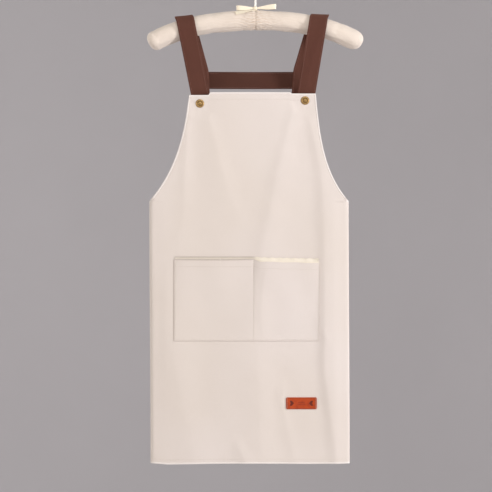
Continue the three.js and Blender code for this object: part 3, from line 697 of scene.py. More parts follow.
def flat_edge(side, z):
    """The cut edge's distance along the cloth from x = 0, at height z."""
    start = side * fold_x(side, z)
    if z <= UNDERARM_Z:
        share = min((UNDERARM_Z - z) / (UNDERARM_Z - WING_TOP_Z), 1)
        return start + lerp(0.5, 1.0, share) * math.pi * FOLD_RADIUS
    x = abs(float(np.interp(z, *ARMHOLES[side])))
    if x <= start:
        return x
    return start + FOLD_RADIUS * math.asin(min((x - start) / (FOLD_RADIUS + HALF_CANVAS), 1))


def on_front(s, z):
    """The point of the front cloth's middle, a distance s along it from x = 0, at height z."""
    left, right = fold_start(z)
    x = np.clip(s, left, right)
    y = PANEL_Y - relief(x, z)
    for start, side in ((left, -1), (right, 1)):
        turn = np.clip((side * (s - start)) / FOLD_RADIUS, 0, math.pi)
        x = np.where(turn > 0, start + side * FOLD_RADIUS * np.sin(turn), x)
        y = np.where(turn > 0, FOLD_Y - FOLD_RADIUS * np.cos(turn), y)
    return xyz(x, y, z)


def bib_top(x):
    """The bib's top edge: a little lower at its two corners."""
    top = np.full_like(x, BIB_TOP_Z)
    for side, (step_x, drop) in BIB_STEPS.items():
        top = top - drop * smoothstep(side * (x - step_x) / (2 * BIB_STEP_RUN))
    return top - 0.2 * MM * (1 - np.cos((x - BIB_CENTRE_X) / BIB_HALF * math.pi))


HEM_WAVES = ((-212, -175, -97, 0, 105, 189), (0.96, -1.76, 0.0, 0.64, -0.64, 0.16))


def hem_line(x):
    """The hem's bottom edge: level, with a slow wave."""
    return HEM_Z + 0.4 * MM + np.interp(x / MM, *HEM_WAVES) * MM


EDGE_STEPS = np.array([0, 0.3, 0.8, 1.4, 2.0, 2.6, 3.1, 3.6, 4.2, 5.0, 6.5, 8.5, 11, 13.5]) * MM


def between(low, high, count):
    """Places from low to high, close together near both ends."""
    inner = np.linspace(low + EDGE_STEPS[-1], high - EDGE_STEPS[-1], count)
    return np.concatenate([low + EDGE_STEPS[:-1], inner, high - EDGE_STEPS[-2::-1]])


def front_grid():
    levels = np.concatenate([
        HEM_Z + EDGE_STEPS,
        np.linspace(HEM_Z + EDGE_STEPS[-1], WING_TOP_Z, 168)[1:-1],
        np.linspace(WING_TOP_Z, UNDERARM_Z, 5, endpoint=False),
        np.linspace(UNDERARM_Z, BIB_TOP_Z - EDGE_STEPS[-1], 70),
        BIB_TOP_Z - EDGE_STEPS[-2::-1],
    ])
    rows, weave = [], []
    for level in levels:
        s = between(-flat_edge(-1, level), flat_edge(1, level), 130)
        x = np.clip(s, *fold_start(level))
        z = level + (hem_line(x) - HEM_Z) * smoothstep((HEM_Z + 60 * MM - level) / (60 * MM))
        z = z + (bib_top(x) - BIB_TOP_Z) * smoothstep((z - BIB_TOP_Z + 30 * MM) / (30 * MM))
        rows.append(on_front(s, z))
        weave.append(np.stack([s, z], axis=-1))
    return np.array(rows), np.array(weave), levels


# ---- apron cloth ------------------------------------------------------------------------------

FORWARD, BACKWARD = (0, -1, 0), (0, 1, 0)
SEAM_LIFT = HALF_CANVAS + 0.08 * MM
BEHIND_FRONT_Y = PANEL_Y + HALF_CANVAS + 0.6 * MM


def front_seam(x, z):
    """A stitch line on the front cloth's face, through points at x and z."""
    path, _ = resampled(xyz(x, 0.0, z), 2 * MM)
    path[:, 1] = PANEL_Y - relief(path[:, 0], path[:, 2]) - SEAM_LIFT
    return path, FORWARD


def armhole_line(side, inset):
    """x and z down the armhole, an inset in from its edge."""
    z = np.linspace(BIB_TOP_Z - 6 * MM, UNDERARM_Z + 4 * MM, 60)
    x = np.interp(z, *ARMHOLES[side])
    slope = np.gradient(x, z)
    length = np.hypot(1, slope)
    return np.stack([x - side * inset / length, z + side * inset * slope / length])


def turned_edge(name, line, inner, width):
    """A hem's turned-in strip behind the cloth, from a line of x and z towards an inner one."""
    inward = unit((inner - line).T)
    reach = inward[:, None] * (width * np.linspace(0, 1, 5))[:, None]
    x, z = np.moveaxis(line.T[:, None] + reach, -1, 0)
    return cloth(name, xyz(x, BEHIND_FRONT_Y - relief(x, z), z), 0.8 * MM, CANVAS)


def make_hems():
    x = np.linspace(*fold_start(HEM_Z), 130)
    hem = np.stack([x, hem_line(x) + 0.3 * MM])
    hems = [turned_edge("front_hem", hem, hem + [[0], [1 * MM]], 10 * MM)]
    for name, side in SIDES.items():
        line, inner = (armhole_line(side, inset) for inset in (0.5 * MM, 1.5 * MM))
        keep = line[1] < FACING_LOW.z - 1 * MM
        hems.append(turned_edge(f"armhole_hem_{name}", line[:, keep], inner[:, keep], 6 * MM))
    return hems


def make_facing():
    """The doubled band behind the bib's top that backs the press studs."""
    rows = []
    for level in np.linspace(FACING_LOW.z, BIB_TOP_Z - 1 * MM, 14):
        edges = [np.interp(level, *ARMHOLES[side]) - side * 1.5 * MM for side in (-1, 1)]
        x = np.linspace(*edges, 90)
        near_top = smoothstep((level - BIB_TOP_Z + 30 * MM) / (30 * MM))
        z = level + (bib_top(x) - BIB_TOP_Z) * near_top
        follow = 0.8 * smoothstep((BIB_TOP_Z - z) / (20 * MM))
        rows.append(xyz(x, (FACING_LOW.y + FACING_HIGH.y) / 2 - relief(x, z) * follow, z))
    return cloth("bib_facing_cloth", np.array(rows), FACING_THICKNESS, CANVAS)


def make_front():
    points, weave, levels = front_grid()
    turned_in = fade(edge_distance(points[..., 0], points[..., 2]), 2.6 * MM, 0.8 * MM)
    hem = {"hem": np.where(points[..., 1] < FOLD_Y, turned_in, 0.0)}
    front = cloth("front_cloth", points, CANVAS_THICKNESS, CANVAS, weave, hem)
    hems, facing = make_hems(), make_facing()
    seams = [front_seam(*armhole_line(side, 3.2 * MM)) for side in (-1, 1)]
    x = np.linspace(-0.127, 0.115, 60)
    clear = np.all([np.abs(x - stud_x) > 10 * MM for stud_x, _ in STUDS.values()], axis=0)
    for run in (x[clear & (x < -0.1)], x[clear & (x > -0.1) & (x < 0.088)]):
        seams.append(front_seam(run, bib_top(run) - 14 * MM))
    x = np.linspace(*fold_start(HEM_Z), 90)
    seams.append(front_seam(x, hem_line(x) + 9 * MM))
    seam = stitching("front_stitching", seams, CREAM_THREAD)
    settle("apron", "apron_canvas", front, seam, *hems, facing)
    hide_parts("front_panel")
    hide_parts("bib_facing")


WING_TOP_CURVE = np.array(((8.5, -461), (42, -498), (92, -501), (140, -503))) * MM
WING_START = FOLD_RADIUS + HALF_CANVAS
WING_DEPTH = 0.140 - WING_START


def wing_top(d):
    """The wing's top edge, which carries the armhole on from the fold to the strap's corner."""
    start, pull, end, corner = WING_TOP_CURVE
    t = np.linspace(0, 1, 30)[:, None]
    curve = (1 - t) ** 2 * start + 2 * t * (1 - t) * pull + t * t * end
    return np.interp(d + WING_START, *np.append(curve, [corner], axis=0).T)


def wing_y(side, d, z):
    """The wing hangs flat where the strap is sewn, and waves softly towards its hem."""
    loose = smoothstep((-0.545 - z) / 0.12) * smoothstep(d / 0.05)
    wave = 1 + np.sin(d / 0.040 * 2 * math.pi * 0.42 + side * 0.7 - z * 3.0)
    return WING_Y + loose * (1.3 * MM * wave + 0.9 * MM * (1 + np.sin(z * 21 + d * 30 + side)))


def make_wings():
    for name, side in SIDES.items():
        d = np.linspace(0, WING_DEPTH, 46)
        share = np.linspace(0, 1, 172)[:, None]
        z = lerp(HEM_Z, wing_top(d), share)
        edge = fold_x(side, z)
        z = z + (hem_line(edge) - HEM_Z) * fade(share, 0, 0.12)
        points = xyz(edge - side * d, wing_y(side, d, z), z)
        weave = np.stack(np.broadcast_arrays(d, z), axis=-1)
        if side < 0:
            points, weave = points[:, ::-1], weave[:, ::-1]
        wing = cloth(f"wing_{name}_cloth", points, CANVAS_THICKNESS, CANVAS, weave)
        seam = wing_stitching(name, side)
        for piece in (wing, seam):
            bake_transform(piece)
        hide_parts(f"wing_{name}")


def wing_stitching(name, side):
    """Stitches along the wing's hem and top and down its free edge, on its outer face."""
    free = WING_DEPTH - 6 * MM
    d = np.linspace(0.004, free, 60)
    runs = (
        (d, HEM_Z + 9 * MM),
        (d, wing_top(d) - 3.5 * MM),
        (free, np.linspace(HEM_Z + 9 * MM, -0.509, 120)),
    )
    seams = []
    for depth, z in runs:
        depth, z = np.broadcast_arrays(depth, z)
        x = fold_x(side, z) - side * depth
        seams.append((xyz(x, wing_y(side, depth, z) + SEAM_LIFT, z), BACKWARD))
    return stitching(f"wing_{name}_stitching", seams, CREAM_THREAD)


# ---- pocket -----------------------------------------------------------------------------------

POCKET_GAPE = 5.2 * MM
POCKET_SEAM_INSET = 1.6 * MM
POCKET_HEM_UP = 1 - 14 * MM / POCKET_HEIGHT
BAR_TACK_X = -0.0702
BAR_TACK_UP = 0.957


def right_share(x):
    return np.clip((x - POCKET_DIVIDER_X) / (POCKET_HIGH.x - POCKET_DIVIDER_X), 0, 1)


def pocket_edge(x):
    """The mouth's edge: nearly level on the left, drooping across the right compartment."""
    share = right_share(x)
    sag = np.sin(np.clip((x - POCKET_LOW.x) / (POCKET_DIVIDER_X - POCKET_LOW.x), 0, 1) * math.pi)
    drop = 4.0 * smoothstep((x - POCKET_DIVIDER_X) / (16 * MM)) + 3.2 * share
    drop = drop + 0.4 * np.sin(share * 17)
    return POCKET_HIGH.z - (2.0 + 0.8 * sag + drop) * MM


def pocket_y(x, up):
    """The pocket's middle: on the skirt at its seams, standing off it at its mouth."""
    left = x < POCKET_DIVIDER_X
    low = np.where(left, POCKET_LOW.x, POCKET_DIVIDER_X)
    high = np.where(left, POCKET_DIVIDER_X, POCKET_HIGH.x)
    across = np.clip((x - low) / (high - low), 0, 1)
    hold = 1 - np.abs(2 * across - 1) ** 5
    rise = np.clip(up, 0, 1)
    gape = POCKET_GAPE * np.where(left, 0.62, 1.0) * rise ** 2.2
    slack = np.where(left, 0.35, 0.8) * MM * np.sin(rise * 2.2)
    waves = slack * (1 + np.sin(across * 9.5 + up * 2.4 + np.where(left, 0.4, 1.9)))
    crest = 0.16 - 0.05 * np.sin(up * 4.2)
    crease = bell(across - crest, np.where(across < crest, 0.06, 0.16), 1.6)
    crease = np.where(left, 0.0, 1.1 * MM) * crease * np.sin(rise * math.pi) ** 0.5
    z = lerp(POCKET_LOW.z, pocket_edge(x), up)
    seam = np.minimum(np.minimum(x - POCKET_LOW.x, POCKET_HIGH.x - x), z - POCKET_LOW.z)
    drawn_in = np.maximum(
        bell(seam - POCKET_SEAM_INSET, 0.6 * MM), bell(x - POCKET_DIVIDER_X, 0.9 * MM)
    )
    base = PANEL_Y - relief(x, z) - CANVAS_THICKNESS - GAP + 0.15 * MM * drawn_in
    return base - hold * (gape + waves + crease)


def pocket_point(x, up, behind=0.0):
    return xyz(x, pocket_y(x, up) + behind, lerp(POCKET_LOW.z, pocket_edge(x), up))


def selvage_points(x, t, forward=0.0):
    """Across the selvage: t runs from inside the pocket at 0 to its top edge at 1."""
    share = right_share(x)
    loose = smoothstep(share * 6)
    top = POCKET_HIGH.z + 3.4 * MM - loose * (1.2 + 2.6 * share - 0.5 * np.sin(x * 420)) * MM
    z = lerp(pocket_edge(x) - 7 * MM, top, t)
    below = np.minimum((z - POCKET_LOW.z) / (pocket_edge(x) - POCKET_LOW.z), 1.0)
    inside = pocket_y(x, below) + 2.1 * MM
    back = PANEL_Y - relief(x, z) - 1.3 * MM
    flare = loose * (1.0 + 0.7 * np.sin(x * 260)) * MM
    y = np.minimum(lerp(inside, back - flare, smoothstep((t - 0.35) / 0.65)), back)
    return xyz(x, y - forward, z)


def make_pocket_selvage(x):
    """The cloth's selvage, turned in behind the mouth, which stands a little above its edge. Left
    of the divider it is flat and plain, and painted with shade: darker all over, and darkest in
    lines along its top and along the mouth."""
    t = np.linspace(0, 1, 30)
    # Painted shade: shadow lines along the top and at the mouth, over painted shade on the whole
    # left half.
    lines = smoothstep((t - 0.88) / 0.07) + bell(t - 0.59, 0.05)
    dark = np.outer(0.45 + 0.8 * lines, fade(x, POCKET_DIVIDER_X - 2 * MM, 10 * MM))
    points = selvage_points(x, t[:, None])
    return cloth("pocket_selvage", points, 0.7 * MM, SELVAGE, marks={"crease": dark})


def make_pocket():
    left, right = (
        between(a, b, 48)
        for a, b in ((POCKET_LOW.x, POCKET_DIVIDER_X), (POCKET_DIVIDER_X, POCKET_HIGH.x))
    )
    x = np.concatenate([left, right[1:]])
    ups = between(0, POCKET_HEIGHT, 52) / POCKET_HEIGHT
    pocket = cloth("pocket_cloth", pocket_point(x, ups[:, None]), CANVAS_THICKNESS, CANVAS)
    hem_ups = np.linspace(POCKET_HEM_UP, 0.996, 6)[:, None]
    lining = cloth("pocket_hem", pocket_point(x[2:-2], hem_ups, 0.95 * MM), 0.7 * MM, CANVAS)
    selvage = make_pocket_selvage(x[2:-2])

    def run(xs, ups):
        return pocket_point(xs, ups, -SEAM_LIFT), FORWARD

    side_seams = (
        POCKET_LOW.x + POCKET_SEAM_INSET, POCKET_HIGH.x - POCKET_SEAM_INSET, POCKET_DIVIDER_X,
    )
    seams = [run(at, np.linspace(0.012, 0.985, 90)) for at in side_seams]
    inner = np.linspace(POCKET_LOW.x + 2 * MM, POCKET_HIGH.x - 2 * MM, 120)
    seams += [run(inner, 0.011), run(inner, POCKET_HEM_UP)]
    seam = stitching("pocket_stitching", seams, CREAM_THREAD)
    tacks = {
        POCKET_LOW.x + 1.5 * MM: 0.992, BAR_TACK_X: 1.02,
        POCKET_DIVIDER_X: 0.992, POCKET_HIGH.x - 1.5 * MM: 0.992,
    }
    tacks = [run(at, np.array([BAR_TACK_UP, top])) for at, top in tacks.items()]
    tack = stitching("pocket_bar_tacks", tacks, COTTON_TAPE, 0.5 * MM, 2.4 * MM, 0.3 * MM)
    left = np.linspace(POCKET_LOW.x + 3 * MM, POCKET_DIVIDER_X - 3 * MM, 90)
    rows = [(selvage_points(left[5:], 0.93, 0.45 * MM), FORWARD), run(left, 0.994)]
    edge_row = stitching("pocket_edge_stitching", rows, EDGE_THREAD, 2.2 * MM, 2.0 * MM, 0.3 * MM)
    on_it = [lining, selvage, seam, tack, edge_row]
    settle("apron", "apron_canvas", pocket, *on_it)
    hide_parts("pocket")


# ---- label ------------------------------------------------------------------------------------

LABEL_CORNER = 2.5 * MM
LABEL_SEAM_INSET = 2.6 * MM


def make_label():
    """A leather label with turned edges, two plain bars between arrowheads pressed into it, and a
    pressed line round its rim."""
    half_w, half_h = (LABEL_HIGH.x - LABEL_LOW.x) / 2, (LABEL_HIGH.z - LABEL_LOW.z) / 2
    centre_x, centre_z = LABEL_LOW.x + half_w, LABEL_LOW.z + half_h
    a, b = np.meshgrid(np.linspace(-1, 1, 150) * half_w, np.linspace(-1, 1, 62) * half_h)
    over_a = np.maximum(np.abs(a) - (half_w - LABEL_CORNER), 0)
    over_b = np.maximum(np.abs(b) - (half_h - LABEL_CORNER), 0)
    diagonal = np.maximum(np.hypot(over_a, over_b), 1e-9)
    squeeze = np.where((over_a > 0) & (over_b > 0), np.maximum(over_a, over_b) / diagonal, 1.0)
    a = np.sign(a) * (np.minimum(np.abs(a), half_w - LABEL_CORNER) + over_a * squeeze)
    b = np.sign(b) * (np.minimum(np.abs(b), half_h - LABEL_CORNER) + over_b * squeeze)
    rim = np.minimum(half_w - np.abs(a), half_h - np.abs(b))
    marks = [0.7 * bell(rim - 1.5 * MM, 0.4 * MM)]
    for side in (-1, 1):
        point = side * a - 15.0 * MM - 0.8 * np.abs(b)
        notch = side * a - 21.5 * MM - 0.4 * np.abs(b)
        arrow = np.minimum(np.minimum(point, -notch), 5.2 * MM - np.abs(b))
        marks.append(smoothstep(arrow / (0.6 * MM) + 0.5))
        bar = bell(b - side * 1.9 * MM, 0.6 * MM, 4)
        marks.append(0.55 * bar * smoothstep((8 * MM - np.abs(a)) / (0.8 * MM)))
    pressed = np.clip(np.max(marks, axis=0), 0, 1)
    x, z = centre_x + a, centre_z + b
    lift = relief(x, z)
    edge = 0.35 * MM * fade(rim, 0, 1.2 * MM) - 0.25 * MM * (a / half_w) ** 2
    face = xyz(x, LABEL_LOW.y - lift * 0.9 + edge + 0.3 * MM * pressed, z)
    back = xyz(x, LABEL_HIGH.y - lift - 0.02 * MM, z)
    count = x.size
    index = np.arange(count).reshape(x.shape)
    border = [*index[0], *index[1:, -1], *index[-1, -2::-1], *index[-2:0:-1, 0]]
    sides = [(q, p, p + count, q + count) for p, q in zip(border, border[1:] + border[:1])]
    front_faces = grid_faces(*x.shape)
    faces = [*front_faces, *(front_faces[:, ::-1] + count), *sides]
    label = mesh_from("label_leather_patch", np.stack([face, back]), faces, LEATHER)
    mark(label, "pressed", np.stack([pressed, np.zeros_like(pressed)]))
    sharpen(label, 60)
    seams = []
    for side in (-1, 1):
        zs = centre_z + np.linspace(-1, 1, 12) * (half_h - LABEL_SEAM_INSET)
        at = centre_x + side * (half_w - LABEL_SEAM_INSET)
        seams.append((xyz(at, LABEL_LOW.y - relief(at, zs) * 0.9 - 0.25 * MM, zs), FORWARD))
    seam = stitching("label_stitching", seams, LABEL_THREAD, 2.4 * MM, 1.9 * MM, 0.3 * MM)
    settle("apron", "label_leather", label, seam)
    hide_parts("leather_label")


# ---- straps -----------------------------------------------------------------------------------

STRAP_TILT = {"left": 6.0, "right": -2.5}
# The fold over each front strap: its slant, its shift across the strap and its height
STRAP_CREASE = {"left": (-0.35, -0.2, 0.5 * MM), "right": (0.5, 0.1, 1.3 * MM)}
BOX_SIDE = 27 * MM


def strap_path(name):
    """The strap's middle line, from behind the bib up over the arm and down to the wing."""
    strap, side = STRAPS[name], SIDES[name]
    low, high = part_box(f"strap_{name}")
    top_z = high.z - STRAP_THICKNESS / 2
    radius = top_z - SWING_Z
    wing_front = WING_Y - HALF_CANVAS - GAP - STRAP_THICKNESS / 2

    def leave(y, z, turn):
        """The angle round the arm at which a run to y, z comes off it."""
        dz = z - SWING_Z
        whole = 2 * math.pi if turn < 0 else 0.0
        return whole + math.atan2(dz, y) + turn * math.acos(radius / math.hypot(y, dz))

    first = leave(STRAP_BEHIND_BIB_Y, STRAP_SPLIT_Z, -1)
    turn = np.linspace(first, leave(wing_front, STRAP_MEET_Z, 1), 40)
    arc = zip(radius * np.cos(turn), SWING_Z + radius * np.sin(turn))
    front = [(STRAP_BEHIND_BIB_Y, STRAP_END_LOW.z), (STRAP_BEHIND_BIB_Y, STRAP_SPLIT_Z)]
    yz = [*front, *arc, (wing_front, STRAP_MEET_Z), (wing_front, low.z)]
    dense, _ = resampled([(0, y, z) for y, z in yz], 1 * MM)
    z = dense[:, 2]
    before_top = np.arange(len(z)) <= np.argmax(z)
    shoulder = side * 2.2 * MM * smoothstep((z - top_z + 9 * MM) / (9 * MM))
    front_x = strap["top_x"] - side * strap["front_slant"] * (top_z - np.maximum(z, STRAP_SPLIT_Z))
    at_join = strap["top_x"] - side * strap["back_slant"] * (top_z - CROSS_HIGH.z)
    lower_x = np.interp(-z, (-CROSS_HIGH.z, -low.z), (at_join, strap["corner_x"]))
    back_x = strap["top_x"] - side * strap["back_slant"] * (top_z - z) + shoulder
    back_x = np.where(z > CROSS_HIGH.z, back_x, lower_x)
    dense[:, 0] = np.where(before_top, front_x + shoulder, back_x)
    return resampled(dense, 3 * MM)[0]


def crossing_crease(name):
    """The soft diagonal fold that each front strap takes from its slanting pull."""
    slant, shift, height = STRAP_CREASE[name]

    def lift(a, s):
        along = (s - 0.115) / 0.075
        fold = bell(a - slant * along - shift, 0.45, 1.6)
        return height * math.exp(-(along ** 4)) * fold + 0.25 * MM * a * a

    return lift


def strap_seams(points, across, lifted):
    """Stitch lines near both edges, on both faces of a strap."""
    along = tangents(points)
    across = square_to(along, across)
    outward = np.cross(across, along)
    seams = []
    for side in (-1, 1):
        a = side * (1 - 2 * 3 * MM / STRAP_WIDTH)
        lift = np.array([lifted(a, s) if lifted else 0.0 for s in arc_lengths(points)])[:, None]
        for face in (-1, 1):
            out = outward * (lift + face * (STRAP_THICKNESS / 2 + 0.05 * MM))
            path = points + across * (a * STRAP_WIDTH / 2) + out
            seams.append((path[1:-1], face * outward[1:-1]))
    return seams


def make_straps():
    for name, (stud_x, _) in STUDS.items():
        path = strap_path(name)
        behind = np.arange(len(path)) > np.argmax(path[:, 2])
        join = int(np.argmax(behind & (path[:, 2] < STRAP_JOIN_Z)))
        tilt = math.radians(STRAP_TILT[name]) * smoothstep((path[:, 2] - SWING_Z + 0.012) / 0.034)
        across = xyz(np.cos(tilt), 0.0, np.sin(tilt))
        tip, wing = f"strap_tip_{name}", f"side_wing_{name}"
        over_end = STRAP_SPLIT_Z - 3 * MM
        parts = (
            ("over", slice(0, join + 1), crossing_crease(name), tip, -0.150, over_end),
            ("back", slice(join, None), None, wing, -0.230, -0.500),
        )
        for part, span, lifted, body, start_z, end_z in parts:
            cut = path[span], across[span]
            label = f"strap_{name}_{part}"
            piece = band(label, *cut, STRAP_WIDTH, STRAP_THICKNESS, TWILL, lifted, columns=16)
            seams = strap_seams(*cut, lifted)
            seam = stitching(
                f"{label}_stitching", seams, BROWN_THREAD, length=2.4 * MM, radius=0.27 * MM
            )
            for each in (piece, seam):
                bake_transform(each)
            if part == "over":
                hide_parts(f"strap_{name}", f"strap_end_{name}")


def crossed_box(near, far, bottom, top, depth):
    """Stitch lines round a box and across it both ways; depth(x) is how far back the cloth is."""
    corners = ((near, bottom), (near, top), (far, top), (far, bottom))
    seams = []
    for ends in ((0, 1), (1, 2), (2, 3), (3, 0), (0, 2), (1, 3)):
        line, _ = resampled([(corners[k][0], 0, corners[k][1]) for k in ends], 2 * MM)
        line[:, 1] = depth(line[:, 0])
        seams.append((line, BACKWARD))
    return seams


def make_cross_strap():
    """The bar between the back straps, sewn on behind them with a crossed box of stitches."""
    low, high = CROSS_LOW, CROSS_HIGH
    middle_z = (low.z + high.z) / 2
    share = np.linspace(0, 1, 90)
    x = lerp(low.x, high.x, share)
    y = low.y + STRAP_THICKNESS / 2 + (high.y - STRAP_THICKNESS - low.y) * share
    sag = 0.5 * MM * np.sin(share * math.pi)

    def lift(a, s):
        free = math.sin(min(max(s / (high.x - low.x), 0), 1) * math.pi)
        return 0.5 * MM * free * math.sin(a * 2.2 + s * 40)

    # The bar's twill is the darkened copy of the strap twill: painted shade.
    bar = band(
        "cross_strap_cloth", xyz(x, y, middle_z - sag), np.tile((0.0, 0.0, 1.0), (90, 1)),
        high.z - low.z, STRAP_THICKNESS, CROSS_TWILL_PAINTED_SHADE, lift, columns=16,
    )
    out = STRAP_THICKNESS / 2 + 0.1 * MM
    seams = []
    for edge in (low.z + 3 * MM, high.z - 3 * MM):
        for face in (-1, 1):
            seams.append((xyz(x, y + face * out, edge - sag)[2:-2], (0, face, 0)))
    for near, side in ((low.x + 4 * MM, 1), (high.x - 4 * MM, -1)):
        seams += crossed_box(
            near, near + side * BOX_SIDE, middle_z - BOX_SIDE / 2, middle_z + BOX_SIDE / 2,
            lambda at: np.interp(at, x, y) + out,
        )
    seam = stitching("cross_strap_stitching", seams, BROWN_THREAD, length=2.4 * MM)
    settle("apron", "strap_twill", bar, seam)
    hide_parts("cross_strap")


def make_strap_patches():
    """The crossed boxes of stitches that hold each back strap to its wing."""
    for name, strap in STRAPS.items():
        near, far = strap["corner_x"] - 14 * MM, strap["corner_x"] + 14 * MM
        seams = crossed_box(near, far, -0.540, -0.510, lambda at: WING_Y + HALF_CANVAS + 0.1 * MM)
        seam = stitching(f"wing_{name}_box_stitch", seams, BROWN_THREAD, length=2.4 * MM)
        settle(f"side_wing_{name}", "strap_twill", seam)


# ---- press studs ------------------------------------------------------------------------------

# Each part's outline, front first: runs of (radius, y) in millimetres, y from the level named
PROFILES = {
    "cap": (
        ("cloth", (0.0, -1.75), (1.2, -1.78), (2.6, -1.72), (3.2, -1.5), (3.7, -1.12),
         (4.3, -1.05), (4.8, -1.2), (5.3, -1.52), (6.0, -1.62), (6.9, -1.5), (7.6, -1.2),
         (8.2, -0.75), (8.5, -0.3), (8.35, 0.05), (7.8, 0.0), (1.8, 0.0)),
        ("origin", (1.8, -0.35), (2.7, -0.3), (2.6, 0.05), (0.0, 0.1)),
    ),
    "socket": (
        ("low", (2.2, 0.0), (5.9, 0.0), (6.2, 0.25), (6.2, 1.0), (5.9, 1.25), (5.0, 1.35)),
        ("high", (4.75, -0.5), (4.5, -0.1), (4.1, 0.0), (3.5, -0.1), (3.2, -0.4)),
        ("low", (3.2, 1.1), (2.2, 1.1), (2.2, 0.0)),
    ),
    "stud": (
        ("low", (0.0, 0.0), (1.8, 0.0), (2.5, 0.25), (2.75, 0.6), (2.5, 1.0), (2.3, 1.3),
         (2.5, 1.4), (5.2, 1.4), (5.5, 1.65)),
        ("high", (5.5, -0.15), (5.2, 0.0), (2.1, 0.0), (2.1, -0.6), (0.0, -0.6)),
    ),
    "post": (
        ("low", (0.0, 0.0), (1.8, 0.0)),
        ("high", (1.8, -1.0), (5.2, -1.0), (5.5, -0.8), (5.5, -0.5), (5.0, -0.12), (3.4, -0.1),
         (3.0, -0.35), (1.2, -0.4), (0.0, -0.4)),
    ),
}


def make_studs():
    for name, centre in STUDS.items():
        brass = antique_brass(f"antique_brass_{name}", centre)
        for kind, runs in PROFILES.items():
            low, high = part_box(f"snap_{kind}_{name}")
            levels = {"low": low.y, "high": high.y, "cloth": FRONT_LOW.y - GAP, "origin": 0.0}
            rows = [(r * MM, levels[level] + y * MM) for level, *run in runs for r, y in run]
            piece = turned(f"{kind}_{name}", rows, centre, brass)
            body = "apron" if kind in ("cap", "socket") else f"strap_tip_{name}"
            settle(body, "antique_brass", piece)
            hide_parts(f"snap_{kind}_{name}")


# ---- padded arm -------------------------------------------------------------------------------

PAD_ROLLS = 72
GATHER_REACH = 0.036
STRAP_PRESS = STRAP_WIDTH / 2 + 4 * MM
CLOTH_FRAMES = 18
SETTLE_LIMIT = 1.2 * MM
CLOTH_SETTINGS = {
    "quality": 6, "mass": 0.15, "tension_stiffness": 12, "compression_stiffness": 12,
    "shear_stiffness": 4, "bending_stiffness": 0.05, "vertex_group_mass": "sewn",
    "use_pressure": True, "uniform_pressure_force": 1.6, "shrink_min": -0.006, "shrink_max": -0.006,
}


def pad_point(s, roll, swell, inset):
    """A point of the padding: s along the arm, roll round it from the top towards the front."""
    height = (PAD_HALF_HEIGHT - inset) * swell * np.cos(roll)
    depth = (PAD_HALF_DEPTH - inset) * swell * np.sin(roll)
    slope = -(2 * ARCH_SQUARE * s + 4 * ARCH_FOURTH * s ** 3)
    length = np.hypot(1, slope)
    middle_z = PAD_TOP_Z - PAD_HALF_HEIGHT - ARCH_SQUARE * s ** 2 - ARCH_FOURTH * s ** 4
    return xyz(s - height * slope / length, -depth, middle_z + height / length)


def pad_swell(s, span):
    """How full the padding is along the arm: its left end is squarer than its right."""
    from_end = np.clip((span - np.abs(s)) / np.where(s < 0, PAD_LEFT_END, PAD_RIGHT_END), 0, 1)
    return (1 - (1 - from_end) ** PAD_END_POWER) ** (1 / PAD_END_POWER)


def pad_stations():
    """Places along the arm, close together at both ends and at the gathered middle."""
    half = np.concatenate([
        np.linspace(0, 0.045, 28, endpoint=False),
        np.linspace(0.045, 0.188, 44, endpoint=False),
        PAD_HALF_SPAN - (PAD_HALF_SPAN - 0.188) * (1 - np.linspace(0, 1, 16) ** 0.6)[:-1],
        [PAD_HALF_SPAN - 0.01 * MM],
    ])
    return np.concatenate([-half[:0:-1], half])


def gathers(s, roll):
    """The pleats that the cotton is drawn into at its middle seam."""
    pull = np.exp(-np.abs(s) / GATHER_REACH)
    side = np.sign(s)
    rising = np.cos(19 * roll + 1.3 * side + 170 * np.abs(s) + 2 * np.sin(130 * s))
    falling = np.cos(25 * roll - 0.7 * side - 210 * np.abs(s) + 2 * np.sin(95 * s + 1))
    pleats = (rising + falling) / 2
    pleats = np.sign(pleats) * np.abs(pleats) ** 0.8
    tuck = bell(s, 1.8 * MM)
    return (1.2 * pleats * pull * (1 - 0.4 * tuck) - 1.2 * tuck - 0.3 * pull) * MM


def pad_lift(s, roll, swell):
    """How far the cover stands off the padding's plain shape: its gathers, its lengthwise seam,
    low on the front and drawn in between its stitches, and soft dents."""
    draw = 1 + 0.25 * np.cos(s / (6 * MM) * 2 * math.pi)
    seam = -0.9 * MM * draw * bell((roll - PAD_SEAM_ROLL) * PAD_HALF_HEIGHT, 1.3 * MM)
    slow = 0.32 * np.sin(s * 55 + 2 * np.cos(roll)) + 0.26 * np.sin(s * 93 - 3 * roll + 1)
    lift = (gathers(s, roll) + seam + slow * MM * 0.4 - 0.6 * MM) * np.minimum(swell * 1.4, 1)
    # Under a strap the padding doesn't swell past its rest shape.
    for strap in STRAPS.values():
        under = fade(np.abs(s - strap["top_x"]), STRAP_PRESS, 8 * MM)
        lift = lerp(lift, np.minimum(lift, -0.3 * MM), under)
    return lift


def relax_cover(obj, pinned):
    """Inflates the cover's cotton so that its pleats settle as filled cloth does."""
    group = obj.vertex_groups.new(name="sewn")
    for index, weight in enumerate(pinned):
        if weight > 0.01:
            group.add([index], float(weight), "REPLACE")
    modifier = obj.modifiers.new("cloth", "CLOTH")
    for key, value in CLOTH_SETTINGS.items():
        setattr(modifier.settings, key, value)
    modifier.settings.effector_weights.gravity = 0
    modifier.point_cache.frame_start = 1
    modifier.point_cache.frame_end = CLOTH_FRAMES
    scene = bpy.context.scene
    for number in range(1, CLOTH_FRAMES + 1):
        scene.frame_set(number)
    apply_modifiers(obj)
    scene.frame_set(1)


